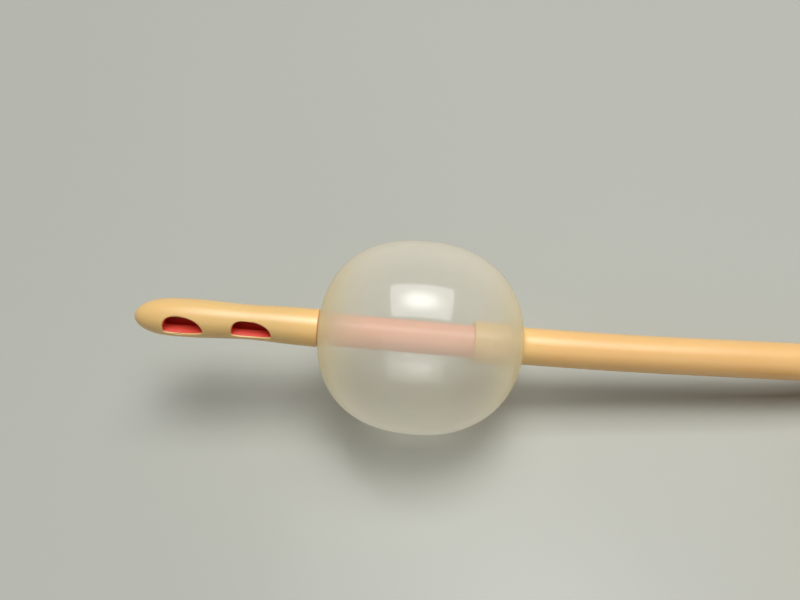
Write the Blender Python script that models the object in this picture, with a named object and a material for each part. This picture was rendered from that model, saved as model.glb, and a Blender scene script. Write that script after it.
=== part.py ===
"""Two-way balloon (Foley) urinary catheter, 16 Fr, lying inflated on a table.

The shaft is a red latex core under a yellow outer coat. The core carries the drainage lumen and,
in its wall, the small inflation lumen. The coat stops on both sides of the balloon, whose two
sleeves are bonded to the bare core. The shaft ends in a moulded Y funnel: a drainage mouth and
an inflation arm with a size collar and a spring check valve.

Sizes are in metres. The tip points to -X, +Z is up, and the part rests on z = 0.
"""
import math

import bmesh
import bpy
import numpy as np
from mathutils import Matrix, Vector

MM = 0.001

# Lay of the shaft's axis on the table, in mm, from the tip to the funnel's neck. The origin is
# the floor point under the balloon's centre. The shaft slopes down from the raised tip, reaches
# the table beyond the balloon and is laid in one loose turn with the funnel inside it.
LAY_MM = (
    (-40.0, 0.0, 18.85), (-34.0, 0.0, 18.4), (-27.0, 0.0, 17.65), (-20.5, 0.0, 16.8),
    (-14.5, 0.0, 15.85), (0.0, 0.0, 13.7), (14.5, 0.0, 11.6), (20.0, 0.0, 10.9),
    (28.0, 0.0, 10.0), (37.0, 0.0, 9.2), (46.0, 0.0, 8.5), (56.0, 0.1, 7.6),
    (66.0, 1.1, 6.0), (75.8, 3.3, 4.25), (85.5, 6.1, 3.05), (95.7, 8.8, 2.7),
    (107.1, 10.5, 2.7), (120.0, 8.8, 2.7), (129.7, 2.9, 2.7), (136.0, -6.6, 2.7),
    (137.8, -17.4, 2.7), (135.4, -28.6, 2.7), (129.0, -38.0, 2.7), (119.0, -44.7, 2.7),
    (107.7, -48.2, 2.7), (96.7, -49.8, 2.7), (85.8, -50.7, 2.7), (75.8, -50.8, 2.7),
    (66.1, -48.5, 2.7), (58.6, -42.8, 2.7), (54.4, -34.4, 2.7), (54.3, -25.0, 2.7),
    (58.4, -16.5, 2.7), (65.8, -10.6, 2.8), (74.9, -8.4, 3.35), (83.4, -9.3, 4.0),
)
LAY_STEP = 7.1 * MM                 # distance between two rings of the swept shaft
AROUND = 20                         # sides of everything turned about the shaft's axis

# Bond line or seating clearance between two pieces that touch
FIT = 0.03 * MM

# Core: 16 Fr over its coat
CORE_OD = 4.70 * MM
CORE_OD_AT_TIP_SLEEVE = 4.56 * MM   # the core is ground down under the balloon's tip sleeve
DRAIN_BORE = 2.70 * MM
DRAIN_OFFSET = 0.30 * MM            # drainage lumen's centre, away from the inflation lumen
DRAIN_START = 3.1 * MM              # blind end of the drainage lumen behind the tip
INFLATE_BORE = 0.60 * MM
INFLATE_OFFSET = 1.72 * MM
PORT_BORE = 0.90 * MM               # side holes into the inflation lumen
INFLATE_ANGLE_BALLOON = 250.0       # degrees about the axis, 0 is left of travel and 90 is up
INFLATE_ANGLE_FUNNEL = 180.0        # the laid shaft is twisted by the difference
DRAIN_SIDES = 10
INFLATE_SIDES = 6

# Coat
SHAFT_OD = 5.33 * MM
TIP_WALL = 0.20 * MM
TIP_BULB_OD = 5.44 * MM
TIP_WAIST_OD = 4.94 * MM
TIP_AT_BALLOON_OD = 5.38 * MM
NOSE_LENGTH = 5.4 * MM
BULB_AT = 7.2 * MM
WAIST_AT = 17.0 * MM
CUFF_OD = 5.84 * MM
CUFF_LENGTH = 6.6 * MM
CUFF_FADE = 1.6 * MM                # run over which the cuff falls to the shaft's size

# Drainage eyes: skived drop-shaped holes, both on the tip's right side
EYE_LENGTH = 5.5 * MM
EYE_WIDTH = 3.0 * MM
EYE_POINT = 0.35                    # 0 is an ellipse, larger values draw the rear end to a point
EYE_CENTRES = (7.4 * MM, 16.85 * MM)
EYE_ANGLE = 160.0

# Balloon, inflated
TIP_TO_BALLOON = 25.9 * MM
BALLOON_LENGTH = 29.0 * MM
BALLOON_OD = 27.3 * MM
BALLOON_WALL = 0.30 * MM
BALLOON_SQUARENESS_TIP = 2.35       # exponent of the outline's superellipse, 2 is an ellipse
BALLOON_SQUARENESS_REAR = 2.20
SLEEVE_WALL = 0.15 * MM
TIP_SLEEVE_LENGTH = 6.0 * MM
FOLD_WALL = 0.20 * MM               # film where it folds back over the cuff
OUTLINE_STEPS = 9                   # rings on each half of the inflated wall

# Funnel moulding
TOTAL_LENGTH = 400.0 * MM           # tip to the mouth of the funnel
FUNNEL_LENGTH = 50.0 * MM
SOCKET_DEPTH = 9.0 * MM             # how far the shaft is bonded into the funnel
NECK_OD = 8.0 * MM
NECK_SWELL_OD = 9.2 * MM
MOUTH_OD = 13.0 * MM
BEAD_OD = 14.0 * MM
BEAD_LENGTH = 3.4 * MM
MOUTH_BORE = 9.9 * MM
THROAT_BORE = 3.5 * MM
FUNNEL_SIDES = 24
FUNNEL_PORT = 5.0 * MM              # inflation port's distance into the socket

# Inflation arm, measured from its root on the funnel's axis
ARM_ROOT = 11.0 * MM
ARM_ANGLE = 31.0                    # degrees to the right of the funnel
ARM_LENGTH = 27.0 * MM
ARM_ROOT_OD = 6.2 * MM
ARM_END_OD = 8.0 * MM
ARM_PASSAGE_BORE = 0.9 * MM
PASSAGE_WALL = 0.45 * MM            # between the passage and the socket, where the socket ends
ARM_SIDES = 20                      # also of the valve, whose facets then lie on the arm's
WEB_THICKNESS = 2.6 * MM
WEB_GAP = 0.5 * MM                  # from the web to the collar

# Check valve in the end of the arm
STEM_OD = 4.2 * MM
STEM_LENGTH = 5.5 * MM
BARB_HEIGHT = 0.25 * MM
CHAMBER_OD = 6.0 * MM
CHAMBER_BORE = 4.4 * MM
CHAMBER_LENGTH = 6.6 * MM
CHAMBER_FLOOR = 0.7 * MM
FLANGE_OD = 9.2 * MM
FLANGE_THICKNESS = 1.0 * MM
LUER_OD = 6.7 * MM
LUER_LENGTH = 9.0 * MM              # from the flange's outer face to the rim
LUER_MOUTH_BORE = 4.32 * MM
LUER_TAPER = 0.06                   # change of diameter per length of a luer cone
LUER_DEPTH = 8.0 * MM
LUG_SPAN = 7.9 * MM
LUG_WIDTH = 3.0 * MM
LUG_THICKNESS = 1.1 * MM
SEAT_BORE = 2.4 * MM
STEM_BORE = 2.0 * MM
COLLAR_WALL = 0.72 * MM
COLLAR_OD = ARM_END_OD + 2 * (FIT + COLLAR_WALL)
COLLAR_LENGTH = 7.0 * MM

# Moving poppet, its seal and spring
POPPET_TRAVEL = 1.3 * MM
POPPET_STEM_OD = 1.4 * MM
POPPET_STEM_REST = 1.9 * MM         # how far its stem stands in the luer socket when pushed in
POPPET_HEAD_OD = 3.6 * MM
POPPET_HEAD_THICKNESS = 0.8 * MM
POPPET_GUIDE_OD = 1.5 * MM
SEAL_OD = 3.7 * MM
SEAL_THICKNESS = 0.8 * MM
SPRING_WIRE = 0.34 * MM
SPRING_OD = 3.0 * MM
SPRING_TURNS = 4.5
RETAINER_THICKNESS = 0.7 * MM
NOTCHES = 3                         # flow notches in the retainer's rim
NOTCH_DEPTH = 0.6 * MM
RUNNING = 0.05 * MM                 # clearance of the poppet's pin in the retainer


class Axis:
    """A line that pieces are turned about, with an upright frame at each distance along it."""

    def station(self, s):
        """Return the point, the forward, left and up vectors at distance s."""
        return (
            np.array((s, 0.0, 0.0)), np.array((1.0, 0.0, 0.0)),
            np.array((0.0, 1.0, 0.0)), np.array((0.0, 0.0, 1.0)),
        )

    def at(self, s, angle=0.0, radius=0.0):
        """Return the point at distance s, at an angle in degrees and a radius from the line."""
        point, _, left, up = self.station(s)
        turn = math.radians(angle)
        return point + radius * (math.cos(turn) * left + math.sin(turn) * up)


class LaidAxis(Axis):
    """The shaft's axis: a natural cubic spline through the lay points, by arc length."""

    SAMPLES = 6000

    def __init__(self, points):
        knots = np.array(points, dtype=float)
        chord = np.linalg.norm(np.diff(knots, axis=0), axis=1)
        at_knot = np.concatenate(([0.0], np.cumsum(chord)))
        bend = self.second_derivatives(knots, chord)
        u = np.linspace(0.0, at_knot[-1], self.SAMPLES)
        k = np.clip(np.searchsorted(at_knot, u, side="right") - 1, 0, len(chord) - 1)
        span = chord[k][:, None]
        before = (at_knot[k + 1] - u)[:, None]
        after = (u - at_knot[k])[:, None]
        self.points = (
            bend[k] * before**3 / (6 * span) + bend[k + 1] * after**3 / (6 * span)
            + (knots[k] / span - bend[k] * span / 6) * before
            + (knots[k + 1] / span - bend[k + 1] * span / 6) * after
        )
        steps = np.linalg.norm(np.diff(self.points, axis=0), axis=1)
        self.distance = np.concatenate(([0.0], np.cumsum(steps)))
        self.length = self.distance[-1]

    @staticmethod
    def second_derivatives(knots, chord):
        """Solve for the spline's second derivatives, which are zero at both ends."""
        count = len(knots)
        system = np.eye(count)
        right_side = np.zeros((count, 3))
        for i in range(1, count - 1):
            system[i, i - 1:i + 2] = (chord[i - 1], 2 * (chord[i - 1] + chord[i]), chord[i])
            ahead = (knots[i + 1] - knots[i]) / chord[i]
            behind = (knots[i] - knots[i - 1]) / chord[i - 1]
            right_side[i] = 6 * (ahead - behind)
        return np.linalg.solve(system, right_side)

    def point(self, s):
        """Return the point at arc length s, going straight on beyond both ends."""
        inside = min(max(s, 0.0), self.length)
        on_curve = np.array([np.interp(inside, self.distance, c) for c in self.points.T])
        if s < 0.0:
            return on_curve + s * self.direction(0, 1)
        if s > self.length:
            return on_curve + (s - self.length) * self.direction(-2, -1)
        return on_curve

    def direction(self, first, last):
        """Return the unit vector from one sample of the curve to another."""
        step = self.points[last] - self.points[first]
        return step / np.linalg.norm(step)

    def station(self, s):
        half = 0.2 * MM
        forward = self.point(s + half) - self.point(s - half)
        forward /= np.linalg.norm(forward)
        left = np.array((-forward[1], forward[0], 0.0))
        left /= np.linalg.norm(left)
        return self.point(s), forward, left, np.cross(forward, left)


STRAIGHT = Axis()
SHAFT = LaidAxis([[MM * c for c in point] for point in LAY_MM])

BALLOON_CENTRE = TIP_TO_BALLOON + BALLOON_LENGTH / 2
BALLOON_REAR = TIP_TO_BALLOON + BALLOON_LENGTH
TIP_SLEEVE_START = TIP_TO_BALLOON - TIP_SLEEVE_LENGTH
CUFF_START = BALLOON_REAR - CUFF_LENGTH - BALLOON_WALL
CUFF_END = BALLOON_REAR
NECK_AT = TOTAL_LENGTH - FUNNEL_LENGTH
SHAFT_END = NECK_AT + SOCKET_DEPTH

CORE_R = CORE_OD / 2
TIP_SLEEVE_R = CORE_OD_AT_TIP_SLEEVE / 2 + FIT
REAR_SLEEVE_R = CORE_R + FIT
COAT_BORE_R = CORE_R + FIT


def make_material(name, color, roughness=0.4, metallic=0.0, alpha=1.0):
    """Make a Principled material from a linear colour."""
    material = bpy.data.materials.new(name)
    material.use_nodes = True
    shader = material.node_tree.nodes["Principled BSDF"]
    shader.inputs["Base Color"].default_value = (*color, 1.0)
    shader.inputs["Roughness"].default_value = roughness
    shader.inputs["Metallic"].default_value = metallic
    shader.inputs["Alpha"].default_value = alpha
    return material


def add_object(name, bm, material=None, parent=None):
    """Store a bmesh as a smooth-shaded object, in its parent's frame if it has one.

    Its faces become triangles, which stay flat, so that the Boolean cuts are exact.
    """
    bmesh.ops.recalc_face_normals(bm, faces=bm.faces)
    bmesh.ops.triangulate(bm, faces=bm.faces)
    mesh = bpy.data.meshes.new(name)
    bm.to_mesh(mesh)
    bm.free()
    mesh.shade_smooth()
    mesh.set_sharp_from_angle(angle=math.radians(35))
    obj = bpy.data.objects.new(name, mesh)
    bpy.context.scene.collection.objects.link(obj)
    if material:
        mesh.materials.append(material)
    obj.parent = parent
    return obj


def add_tool(name, bm, parent=None):
    """Store a bmesh as a hidden Boolean operand."""
    tool = add_object(name, bm, parent=parent)
    tool.hide_render = True
    tool.display_type = "WIRE"
    return tool


def combine(target, tool, operation):
    """Join a tool to the target with UNION, or cut it away with DIFFERENCE."""
    modifier = target.modifiers.new(tool.name, "BOOLEAN")
    modifier.operation = operation
    modifier.solver = "EXACT"
    modifier.object = tool


def bridge(bm, ring, other):
    """Join two rings of the same size, or a ring and a pole, with faces."""
    if len(ring) == 1 and len(other) == 1:
        return
    count = max(len(ring), len(other))
    for i in range(count):
        j = (i + 1) % count
        corners = [ring[i % len(ring)], ring[j % len(ring)]]
        corners += [other[j % len(other)], other[i % len(other)]]
        bm.faces.new(list(dict.fromkeys(corners)))


def turned(axis, profile, sides, closed=True):
    """Turn a profile of (distance, radius) pairs about an axis.

    A closed profile makes a ring-shaped body. An open one starts and ends on the axis.
    """
    bm = bmesh.new()
    rings = []
    for s, radius in profile:
        if radius == 0.0:
            rings.append([bm.verts.new(axis.at(s))])
            continue
        angles = [360.0 * i / sides for i in range(sides)]
        rings.append([bm.verts.new(axis.at(s, a, radius)) for a in angles])
    for ring, other in zip(rings, rings[1:]):
        bridge(bm, ring, other)
    if closed:
        bridge(bm, rings[-1], rings[0])
    return bm


def swept(centres, frames, radius, sides):
    """Sweep a circle along centre points whose frames are (left, up) pairs, with flat ends."""
    bm = bmesh.new()
    rings = []
    for centre, (left, up) in zip(centres, frames):
        ring = []
        for i in range(sides):
            turn = math.tau * i / sides
            ring.append(bm.verts.new(centre + radius * (math.cos(turn) * left + math.sin(turn) * up)))
        rings.append(ring)
    for ring, other in zip(rings, rings[1:]):
        bridge(bm, ring, other)
    bm.faces.new(rings[0])
    bm.faces.new(rings[-1])
    return bm


def extruded(outline, base, across, along, direction, depth):
    """Extrude a flat outline from a base point, its x along one vector and its y along another."""
    bm = bmesh.new()
    corners = [bm.verts.new(base + x * along + y * across) for x, y in outline]
    face = bm.faces.new(corners)
    side = bmesh.ops.extrude_face_region(bm, geom=[face])["geom"]
    moved = [v for v in side if isinstance(v, bmesh.types.BMVert)]
    bmesh.ops.translate(bm, verts=moved, vec=Vector(direction * depth))
    return bm


def evenly(start, end, step):
    """Return distances from start to end, both included, about a step apart."""
    count = max(1, round((end - start) / step))
    return [start + (end - start) * i / count for i in range(count + 1)]


def shaft_rings():
    """Return the distances at which every layer of the shaft has a ring.

    The layers share them, so that the facets of two layers stay parallel in the bends.
    """
    rings = {TIP_SLEEVE_START, TIP_TO_BALLOON, BALLOON_CENTRE, CUFF_START, CUFF_END}
    rings.add(CUFF_END + CUFF_FADE)
    rings.update(evenly(CUFF_END + CUFF_FADE, NECK_AT, LAY_STEP))
    rings.add(SHAFT_END)
    return sorted(rings)


SHAFT_RINGS = shaft_rings()


def on_shared_rings(profile, closed=True):
    """Add a point to a profile wherever one of its runs passes a shared ring of the shaft."""
    full = []
    ahead = profile[1:] + profile[:1] if closed else profile[1:]
    for (s0, r0), (s1, r1) in zip(profile, ahead):
        full.append((s0, r0))
        if abs(s1 - s0) < 0.01 * MM:
            continue
        margin = 0.05 * MM
        inside = [s for s in SHAFT_RINGS if min(s0, s1) + margin < s < max(s0, s1) - margin]
        for s in sorted(inside, reverse=s1 < s0):
            full.append((s, r0 + (r1 - r0) * (s - s0) / (s1 - s0)))
    return full if closed else full + profile[-1:]


def nose(length, radius, steps=5):
    """Return the half-elliptic outline of the closed tip, from its pole to its full radius."""
    outline = []
    for i in range(steps + 1):
        turn = math.pi / 2 * i / steps
        outline.append((length * (1 - math.cos(turn)), radius * math.sin(turn)))
    return outline


def tip_outline(inset):
    """Return the outline of the coated tip, moved inwards by an inset."""
    bulb, waist, rear = TIP_BULB_OD / 2, TIP_WAIST_OD / 2, TIP_AT_BALLOON_OD / 2
    sized = nose(NOSE_LENGTH, 0.98 * bulb)
    outline = [(s + inset * (1 - s / NOSE_LENGTH), max(0.0, r * (1 - inset / bulb))) for s, r in sized]
    halfway = (BULB_AT + WAIST_AT) / 2
    shape = ((BULB_AT, bulb), (halfway, (bulb + waist) / 2), (WAIST_AT, waist))
    outline += [(s, r - inset) for s, r in shape]
    outline.append((TIP_SLEEVE_START + FIT, (waist + rear) / 2 - inset))
    outline.append((TIP_TO_BALLOON - FIT, rear - inset))
    return outline


def inflation_angle(s):
    """Return the inflation lumen's angle, which the lay twists along the shaft."""
    share = (s - BALLOON_CENTRE) / (NECK_AT + FUNNEL_PORT - BALLOON_CENTRE)
    return INFLATE_ANGLE_BALLOON + (INFLATE_ANGLE_FUNNEL - INFLATE_ANGLE_BALLOON) * share


def lumen(name, start, end, offset, bore, sides):
    """Make the cutter of a lumen that keeps its offset towards the inflation lumen's side."""
    distances = [start] + [s for s in SHAFT_RINGS if start + MM < s < end - MM] + [end]
    centres = [SHAFT.at(s, inflation_angle(s), offset) for s in distances]
    frames = [SHAFT.station(s)[2:] for s in distances]
    return add_tool(name, swept(centres, frames, bore / 2, sides))


def radial_hole(name, s, angle, inner, outer, bore):
    """Make the cutter of a round hole from one radius of the shaft to another.

    It is rolled a little, so that none of its edges meets a ridge of the faceted shaft.
    """
    _, forward, left, up = SHAFT.station(s)
    turn, roll = math.radians(angle), math.radians(14)
    across = math.cos(turn) * up - math.sin(turn) * left
    first = math.cos(roll) * forward + math.sin(roll) * across
    second = math.cos(roll) * across - math.sin(roll) * forward
    centres = [SHAFT.at(s, angle, inner), SHAFT.at(s, angle, outer)]
    return add_tool(name, swept(centres, [(first, second)] * 2, bore / 2, 8))


def drop_height(turn):
    """Return the height of a drop's outline, which narrows towards a turn of 0."""
    return math.sin(turn) * abs(math.sin(turn / 2)) ** EYE_POINT


def eye_cutter(number, centre):
    """Make the punch of one drainage eye: a drop with its point towards the balloon."""
    outline = []
    steps = 18
    widest = math.acos(-EYE_POINT / (2 + EYE_POINT))
    for i in range(steps):
        turn = math.tau * i / steps
        outline.append((
            EYE_LENGTH / 2 * math.cos(turn),
            EYE_WIDTH / 2 * drop_height(turn) / drop_height(widest),
        ))
    _, forward, left, up = SHAFT.station(centre)
    turn = math.radians(EYE_ANGLE)
    outward = math.cos(turn) * left + math.sin(turn) * up
    across = np.cross(outward, forward)
    base = SHAFT.at(centre, EYE_ANGLE, DRAIN_BORE / 8)
    bm = extruded(outline, base, across, forward, outward, TIP_BULB_OD)
    return add_tool(f"eye_cutter_{number}", bm)


def build_core(material, eyes):
    """Make the red latex core with its two lumens, side ports and eyes."""
    inset = TIP_WALL + FIT
    profile = [p for p in tip_outline(inset) if p[0] < TIP_SLEEVE_START - MM]
    profile += [
        (TIP_SLEEVE_START - 0.2 * MM, CORE_OD_AT_TIP_SLEEVE / 2),
        (TIP_TO_BALLOON + BALLOON_WALL + FIT, CORE_OD_AT_TIP_SLEEVE / 2),
        (TIP_TO_BALLOON + BALLOON_WALL + 0.4 * MM, CORE_R),
        (SHAFT_END, CORE_R), (SHAFT_END, 0.0),
    ]
    profile = on_shared_rings(profile, closed=False)
    core = add_object("inner_tube", turned(SHAFT, profile, AROUND, closed=False), material)
    drain = lumen("drain_lumen", DRAIN_START, SHAFT_END + MM, -DRAIN_OFFSET, DRAIN_BORE, DRAIN_SIDES)
    combine(core, drain, "DIFFERENCE")
    port_s = NECK_AT + FUNNEL_PORT
    balloon_port = BALLOON_CENTRE
    inflate = lumen(
        "inflation_lumen", balloon_port - PORT_BORE, port_s + PORT_BORE / 2,
        INFLATE_OFFSET, INFLATE_BORE, INFLATE_SIDES,
    )
    combine(core, inflate, "DIFFERENCE")
    for name, s in (("balloon_port", balloon_port), ("funnel_port", port_s)):
        hole = radial_hole(name, s, inflation_angle(s), INFLATE_OFFSET, CORE_OD, PORT_BORE)
        combine(core, hole, "DIFFERENCE")
    for eye in eyes:
        combine(core, eye, "DIFFERENCE")
    return core


def build_tip_coat(material, eyes):
    """Make the coat of the tip: a closed cup over the core, open towards the balloon."""
    outside = tip_outline(0.0)
    inside = [p for p in tip_outline(TIP_WALL) if p[0] < TIP_SLEEVE_START - MM]
    sleeve_r = TIP_SLEEVE_R + SLEEVE_WALL + FIT
    inside += [(TIP_SLEEVE_START - 0.1 * MM, sleeve_r), (outside[-1][0], sleeve_r)]
    profile = on_shared_rings(outside + inside[::-1], closed=False)
    coat = add_object("tip_coat", turned(SHAFT, profile, AROUND, closed=False), material)
    for eye in eyes:
        combine(coat, eye, "DIFFERENCE")
    return coat


def half_outline(length, radius, exponent, rim, steps):
    """Return (distance from the centre, radius) pairs from the widest point down to a rim."""
    end = math.acos(min(1.0, (rim / radius) ** (exponent / 2)))
    outline = []
    for i in range(steps + 1):
        turn = end * i / steps
        outline.append((
            length * math.sin(turn) ** (2 / exponent), radius * math.cos(turn) ** (2 / exponent),
        ))
    return outline


def wall_outline(inset, tip_rim, rear_rim):
    """Return the inflated wall's outline from the tip side to the rear, moved in by an inset."""
    length, radius = BALLOON_LENGTH / 2 - inset, BALLOON_OD / 2 - inset
    tip_half = half_outline(length, radius, BALLOON_SQUARENESS_TIP, tip_rim, OUTLINE_STEPS)
    rear_half = half_outline(length, radius, BALLOON_SQUARENESS_REAR, rear_rim, OUTLINE_STEPS)
    outline = [(BALLOON_CENTRE - x, r) for x, r in tip_half[:0:-1]]
    return outline + [(BALLOON_CENTRE + x, r) for x, r in rear_half]


def build_balloon(material):
    """Make the balloon: two bonded sleeves and the inflated wall, folded back over the cuff."""
    tip_out = TIP_SLEEVE_R + SLEEVE_WALL
    rear_out = REAR_SLEEVE_R + SLEEVE_WALL
    fold_r = CUFF_OD / 2 + FIT
    fold_at = CUFF_START - FIT
    outer = wall_outline(0.0, tip_out + 0.1 * MM, fold_r)
    inner = wall_outline(BALLOON_WALL, TIP_SLEEVE_R + 0.1 * MM, fold_r + FOLD_WALL)
    profile = [(TIP_SLEEVE_START, TIP_SLEEVE_R), (TIP_SLEEVE_START, tip_out)]
    profile += [(TIP_TO_BALLOON, tip_out)] + outer
    profile += [
        (fold_at, fold_r), (fold_at, rear_out), (CUFF_END, rear_out), (CUFF_END, REAR_SLEEVE_R),
        (fold_at - FOLD_WALL, REAR_SLEEVE_R), (fold_at - FOLD_WALL, fold_r + FOLD_WALL),
    ]
    profile += inner[::-1]
    profile += [(TIP_TO_BALLOON + BALLOON_WALL, TIP_SLEEVE_R)]
    return add_object("balloon", turned(SHAFT, profile, AROUND), material)


def build_shaft_coat(material):
    """Make the yellow coat from the cuff inside the balloon to the shaft's end."""
    sleeve_r = REAR_SLEEVE_R + SLEEVE_WALL + FIT
    profile = [
        (CUFF_START, CUFF_OD / 2), (CUFF_END, CUFF_OD / 2), (CUFF_END + CUFF_FADE, SHAFT_OD / 2),
        (SHAFT_END, SHAFT_OD / 2), (SHAFT_END, COAT_BORE_R),
        (CUFF_END + FIT, COAT_BORE_R), (CUFF_END + FIT, sleeve_r), (CUFF_START, sleeve_r),
    ]
    coat = add_object("shaft_coat", turned(SHAFT, on_shared_rings(profile), AROUND), material)
    s = NECK_AT + FUNNEL_PORT
    hole = radial_hole("coat_port", s, inflation_angle(s), CORE_R - 0.1 * MM, SHAFT_OD, PORT_BORE)
    combine(coat, hole, "DIFFERENCE")
    return coat


def add_frame(name, location, columns):
    """Add an empty whose local X, Y and Z lie along three given vectors."""
    frame = bpy.data.objects.new(name, None)
    bpy.context.scene.collection.objects.link(frame)
    rotation = Matrix([Vector(c) for c in columns]).transposed().to_4x4()
    frame.matrix_world = Matrix.Translation(Vector(location)) @ rotation
    return frame


def funnel_frames():
    """Add the funnel's and the valve's frames, which the shaft's end places.

    The arm leaves to the right of the funnel and comes down until its collar lies on the table.
    """
    neck, forward, left, up = SHAFT.station(NECK_AT)
    funnel = add_frame("funnel_frame", neck, (forward, left, up))
    root = neck + ARM_ROOT * forward
    heading = math.atan2(forward[1], forward[0]) - math.radians(ARM_ANGLE)
    drop = (COLLAR_OD / 2 - root[2]) / ARM_LENGTH
    level = math.sqrt(1 - drop * drop)
    arm_forward = np.array((level * math.cos(heading), level * math.sin(heading), drop))
    arm_left = np.array((-math.sin(heading), math.cos(heading), 0.0))
    arm_up = np.cross(arm_forward, arm_left)
    arm = add_frame("arm_frame", root, (arm_forward, arm_left, arm_up))
    valve = add_frame("valve_frame", root + ARM_LENGTH * arm_forward, (arm_forward, arm_left, arm_up))
    in_funnel = np.array([arm_forward @ forward, arm_forward @ left, arm_forward @ up])
    return funnel, arm, valve, in_funnel


def funnel_outline():
    """Return the drainage funnel's outer profile, from the neck to the beaded mouth."""
    neck, swell, mouth, bead = NECK_OD / 2, NECK_SWELL_OD / 2, MOUTH_OD / 2, BEAD_OD / 2
    bead_start = FUNNEL_LENGTH - BEAD_LENGTH
    taper = bead_start - ARM_ROOT
    return [
        (0.0, 0.0), (0.0, neck - 0.4 * MM), (0.5 * MM, neck),
        (ARM_ROOT, swell), (ARM_ROOT + 0.35 * taper, swell + 0.35 * (mouth - swell)),
        (ARM_ROOT + 0.7 * taper, swell + 0.72 * (mouth - swell)),
        (bead_start - 1.2 * MM, mouth), (bead_start, bead - 0.1 * MM), (bead_start + 0.8 * MM, bead),
        (FUNNEL_LENGTH - 1.0 * MM, bead), (FUNNEL_LENGTH, bead - 0.7 * MM), (FUNNEL_LENGTH, 0.0),
    ]


def funnel_bore():
    """Return the profile of the shaft's socket, the throat and the tapered drainage mouth."""
    socket_r = SHAFT_OD / 2 + FIT
    socket_end = SOCKET_DEPTH + 2 * FIT
    mouth_r, throat_r = MOUTH_BORE / 2, THROAT_BORE / 2
    past = FUNNEL_LENGTH + MM
    return [
        (-MM, 0.0), (-MM, socket_r), (socket_end, socket_r), (socket_end, throat_r),
        (ARM_ROOT + THROAT_BORE / 2, throat_r), (0.5 * FUNNEL_LENGTH, 0.62 * mouth_r),
        (0.7 * FUNNEL_LENGTH, 0.85 * mouth_r), (0.88 * FUNNEL_LENGTH, 0.95 * mouth_r),
        (FUNNEL_LENGTH, mouth_r), (past, mouth_r), (past, 0.0),
    ]


def arm_outline():
    """Return the inflation arm's outer profile, from inside the funnel's body to its end face."""
    root_r, end_r = ARM_ROOT_OD / 2, ARM_END_OD / 2
    shoulder = ARM_LENGTH - COLLAR_LENGTH
    return [
        (0.0, 0.0), (0.0, root_r), (0.5 * shoulder, root_r), (shoulder - 1.5 * MM, 0.93 * end_r),
        (shoulder, end_r), (ARM_LENGTH, end_r), (ARM_LENGTH, 0.0),
    ]


def arm_seat():
    """Return the distances along the arm at which the stem's seat and the chamber's seat start."""
    chamber_start = ARM_LENGTH - CHAMBER_LENGTH - FIT
    return chamber_start - STEM_LENGTH, chamber_start


def arm_bore():
    """Return the profile of the valve's seat in the arm, as a cutter open at the end face."""
    chamber_r = CHAMBER_OD / 2 + FIT
    stem_r = STEM_OD / 2 + BARB_HEIGHT + FIT
    stem_start, chamber_start = arm_seat()
    past = ARM_LENGTH + MM
    return [
        (stem_start, 0.0), (stem_start, stem_r), (chamber_start, stem_r), (chamber_start, chamber_r),
        (past, chamber_r), (past, 0.0),
    ]


def passage_cutter(arm_direction, parent):
    """Make the cutter of the inflation passage: from the shaft's port, past its end, into the arm.

    A flat of the passage, not an edge, faces the sharp ridges of the faceted socket.
    """
    sides = 8
    bore_r, shaft_r = ARM_PASSAGE_BORE / 2, SHAFT_OD / 2
    root = np.array((ARM_ROOT, 0.0, 0.0))
    seat = arm_seat()[0]
    curve = LaidAxis([
        (FUNNEL_PORT, bore_r - shaft_r, 0.0),
        (SOCKET_DEPTH + PASSAGE_WALL, -shaft_r - PASSAGE_WALL - bore_r, 0.0),
        root + 1.5 * ARM_ROOT_OD * arm_direction, root + (seat + BARB_HEIGHT) * arm_direction,
    ])
    roll = math.pi / sides
    centres, frames = [], []
    for s in evenly(0.0, curve.length, 3 * ARM_PASSAGE_BORE):
        point, _, left, up = curve.station(s)
        across = math.cos(roll) * left + math.sin(roll) * up
        centres.append(point)
        frames.append((across, math.cos(roll) * up - math.sin(roll) * left))
    return add_tool("passage_cutter", swept(centres, frames, bore_r, sides), parent)


def web_outline():
    """Return the flat web in the crotch of the Y, with a hollow front edge, in the arm's frame."""
    turn = math.radians(ARM_ANGLE)
    corner = ARM_LENGTH - COLLAR_LENGTH - WEB_GAP
    outline = [(0.0, 0.0)]
    for i in range(7):
        share = i / 6
        reach = corner * (1 - 0.22 * math.sin(math.pi * share))
        outline.append((reach * math.cos(turn * share), reach * math.sin(turn * share)))
    return outline


def build_funnel(material, funnel_frame, arm_frame, arm_direction):
    """Make the Y moulding: the drainage funnel, the inflation arm and the web between them."""
    body = turned(STRAIGHT, funnel_outline(), FUNNEL_SIDES, closed=False)
    funnel = add_object("funnel", body, material, funnel_frame)
    arm = turned(STRAIGHT, arm_outline(), ARM_SIDES, closed=False)
    combine(funnel, add_tool("arm_body", arm, arm_frame), "UNION")
    side, up = np.array((0.0, 1.0, 0.0)), np.array((0.0, 0.0, 1.0))
    along = np.array((1.0, 0.0, 0.0))
    web = extruded(web_outline(), -up * WEB_THICKNESS / 2, side, along, up, WEB_THICKNESS)
    combine(funnel, add_tool("web_body", web, arm_frame), "UNION")
    bore = turned(STRAIGHT, funnel_bore(), FUNNEL_SIDES, closed=False)
    combine(funnel, add_tool("funnel_bore", bore, funnel_frame), "DIFFERENCE")
    seat = turned(STRAIGHT, arm_bore(), ARM_SIDES, closed=False)
    combine(funnel, add_tool("arm_bore", seat, arm_frame), "DIFFERENCE")
    combine(funnel, passage_cutter(arm_direction, funnel_frame), "DIFFERENCE")
    return funnel


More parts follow.
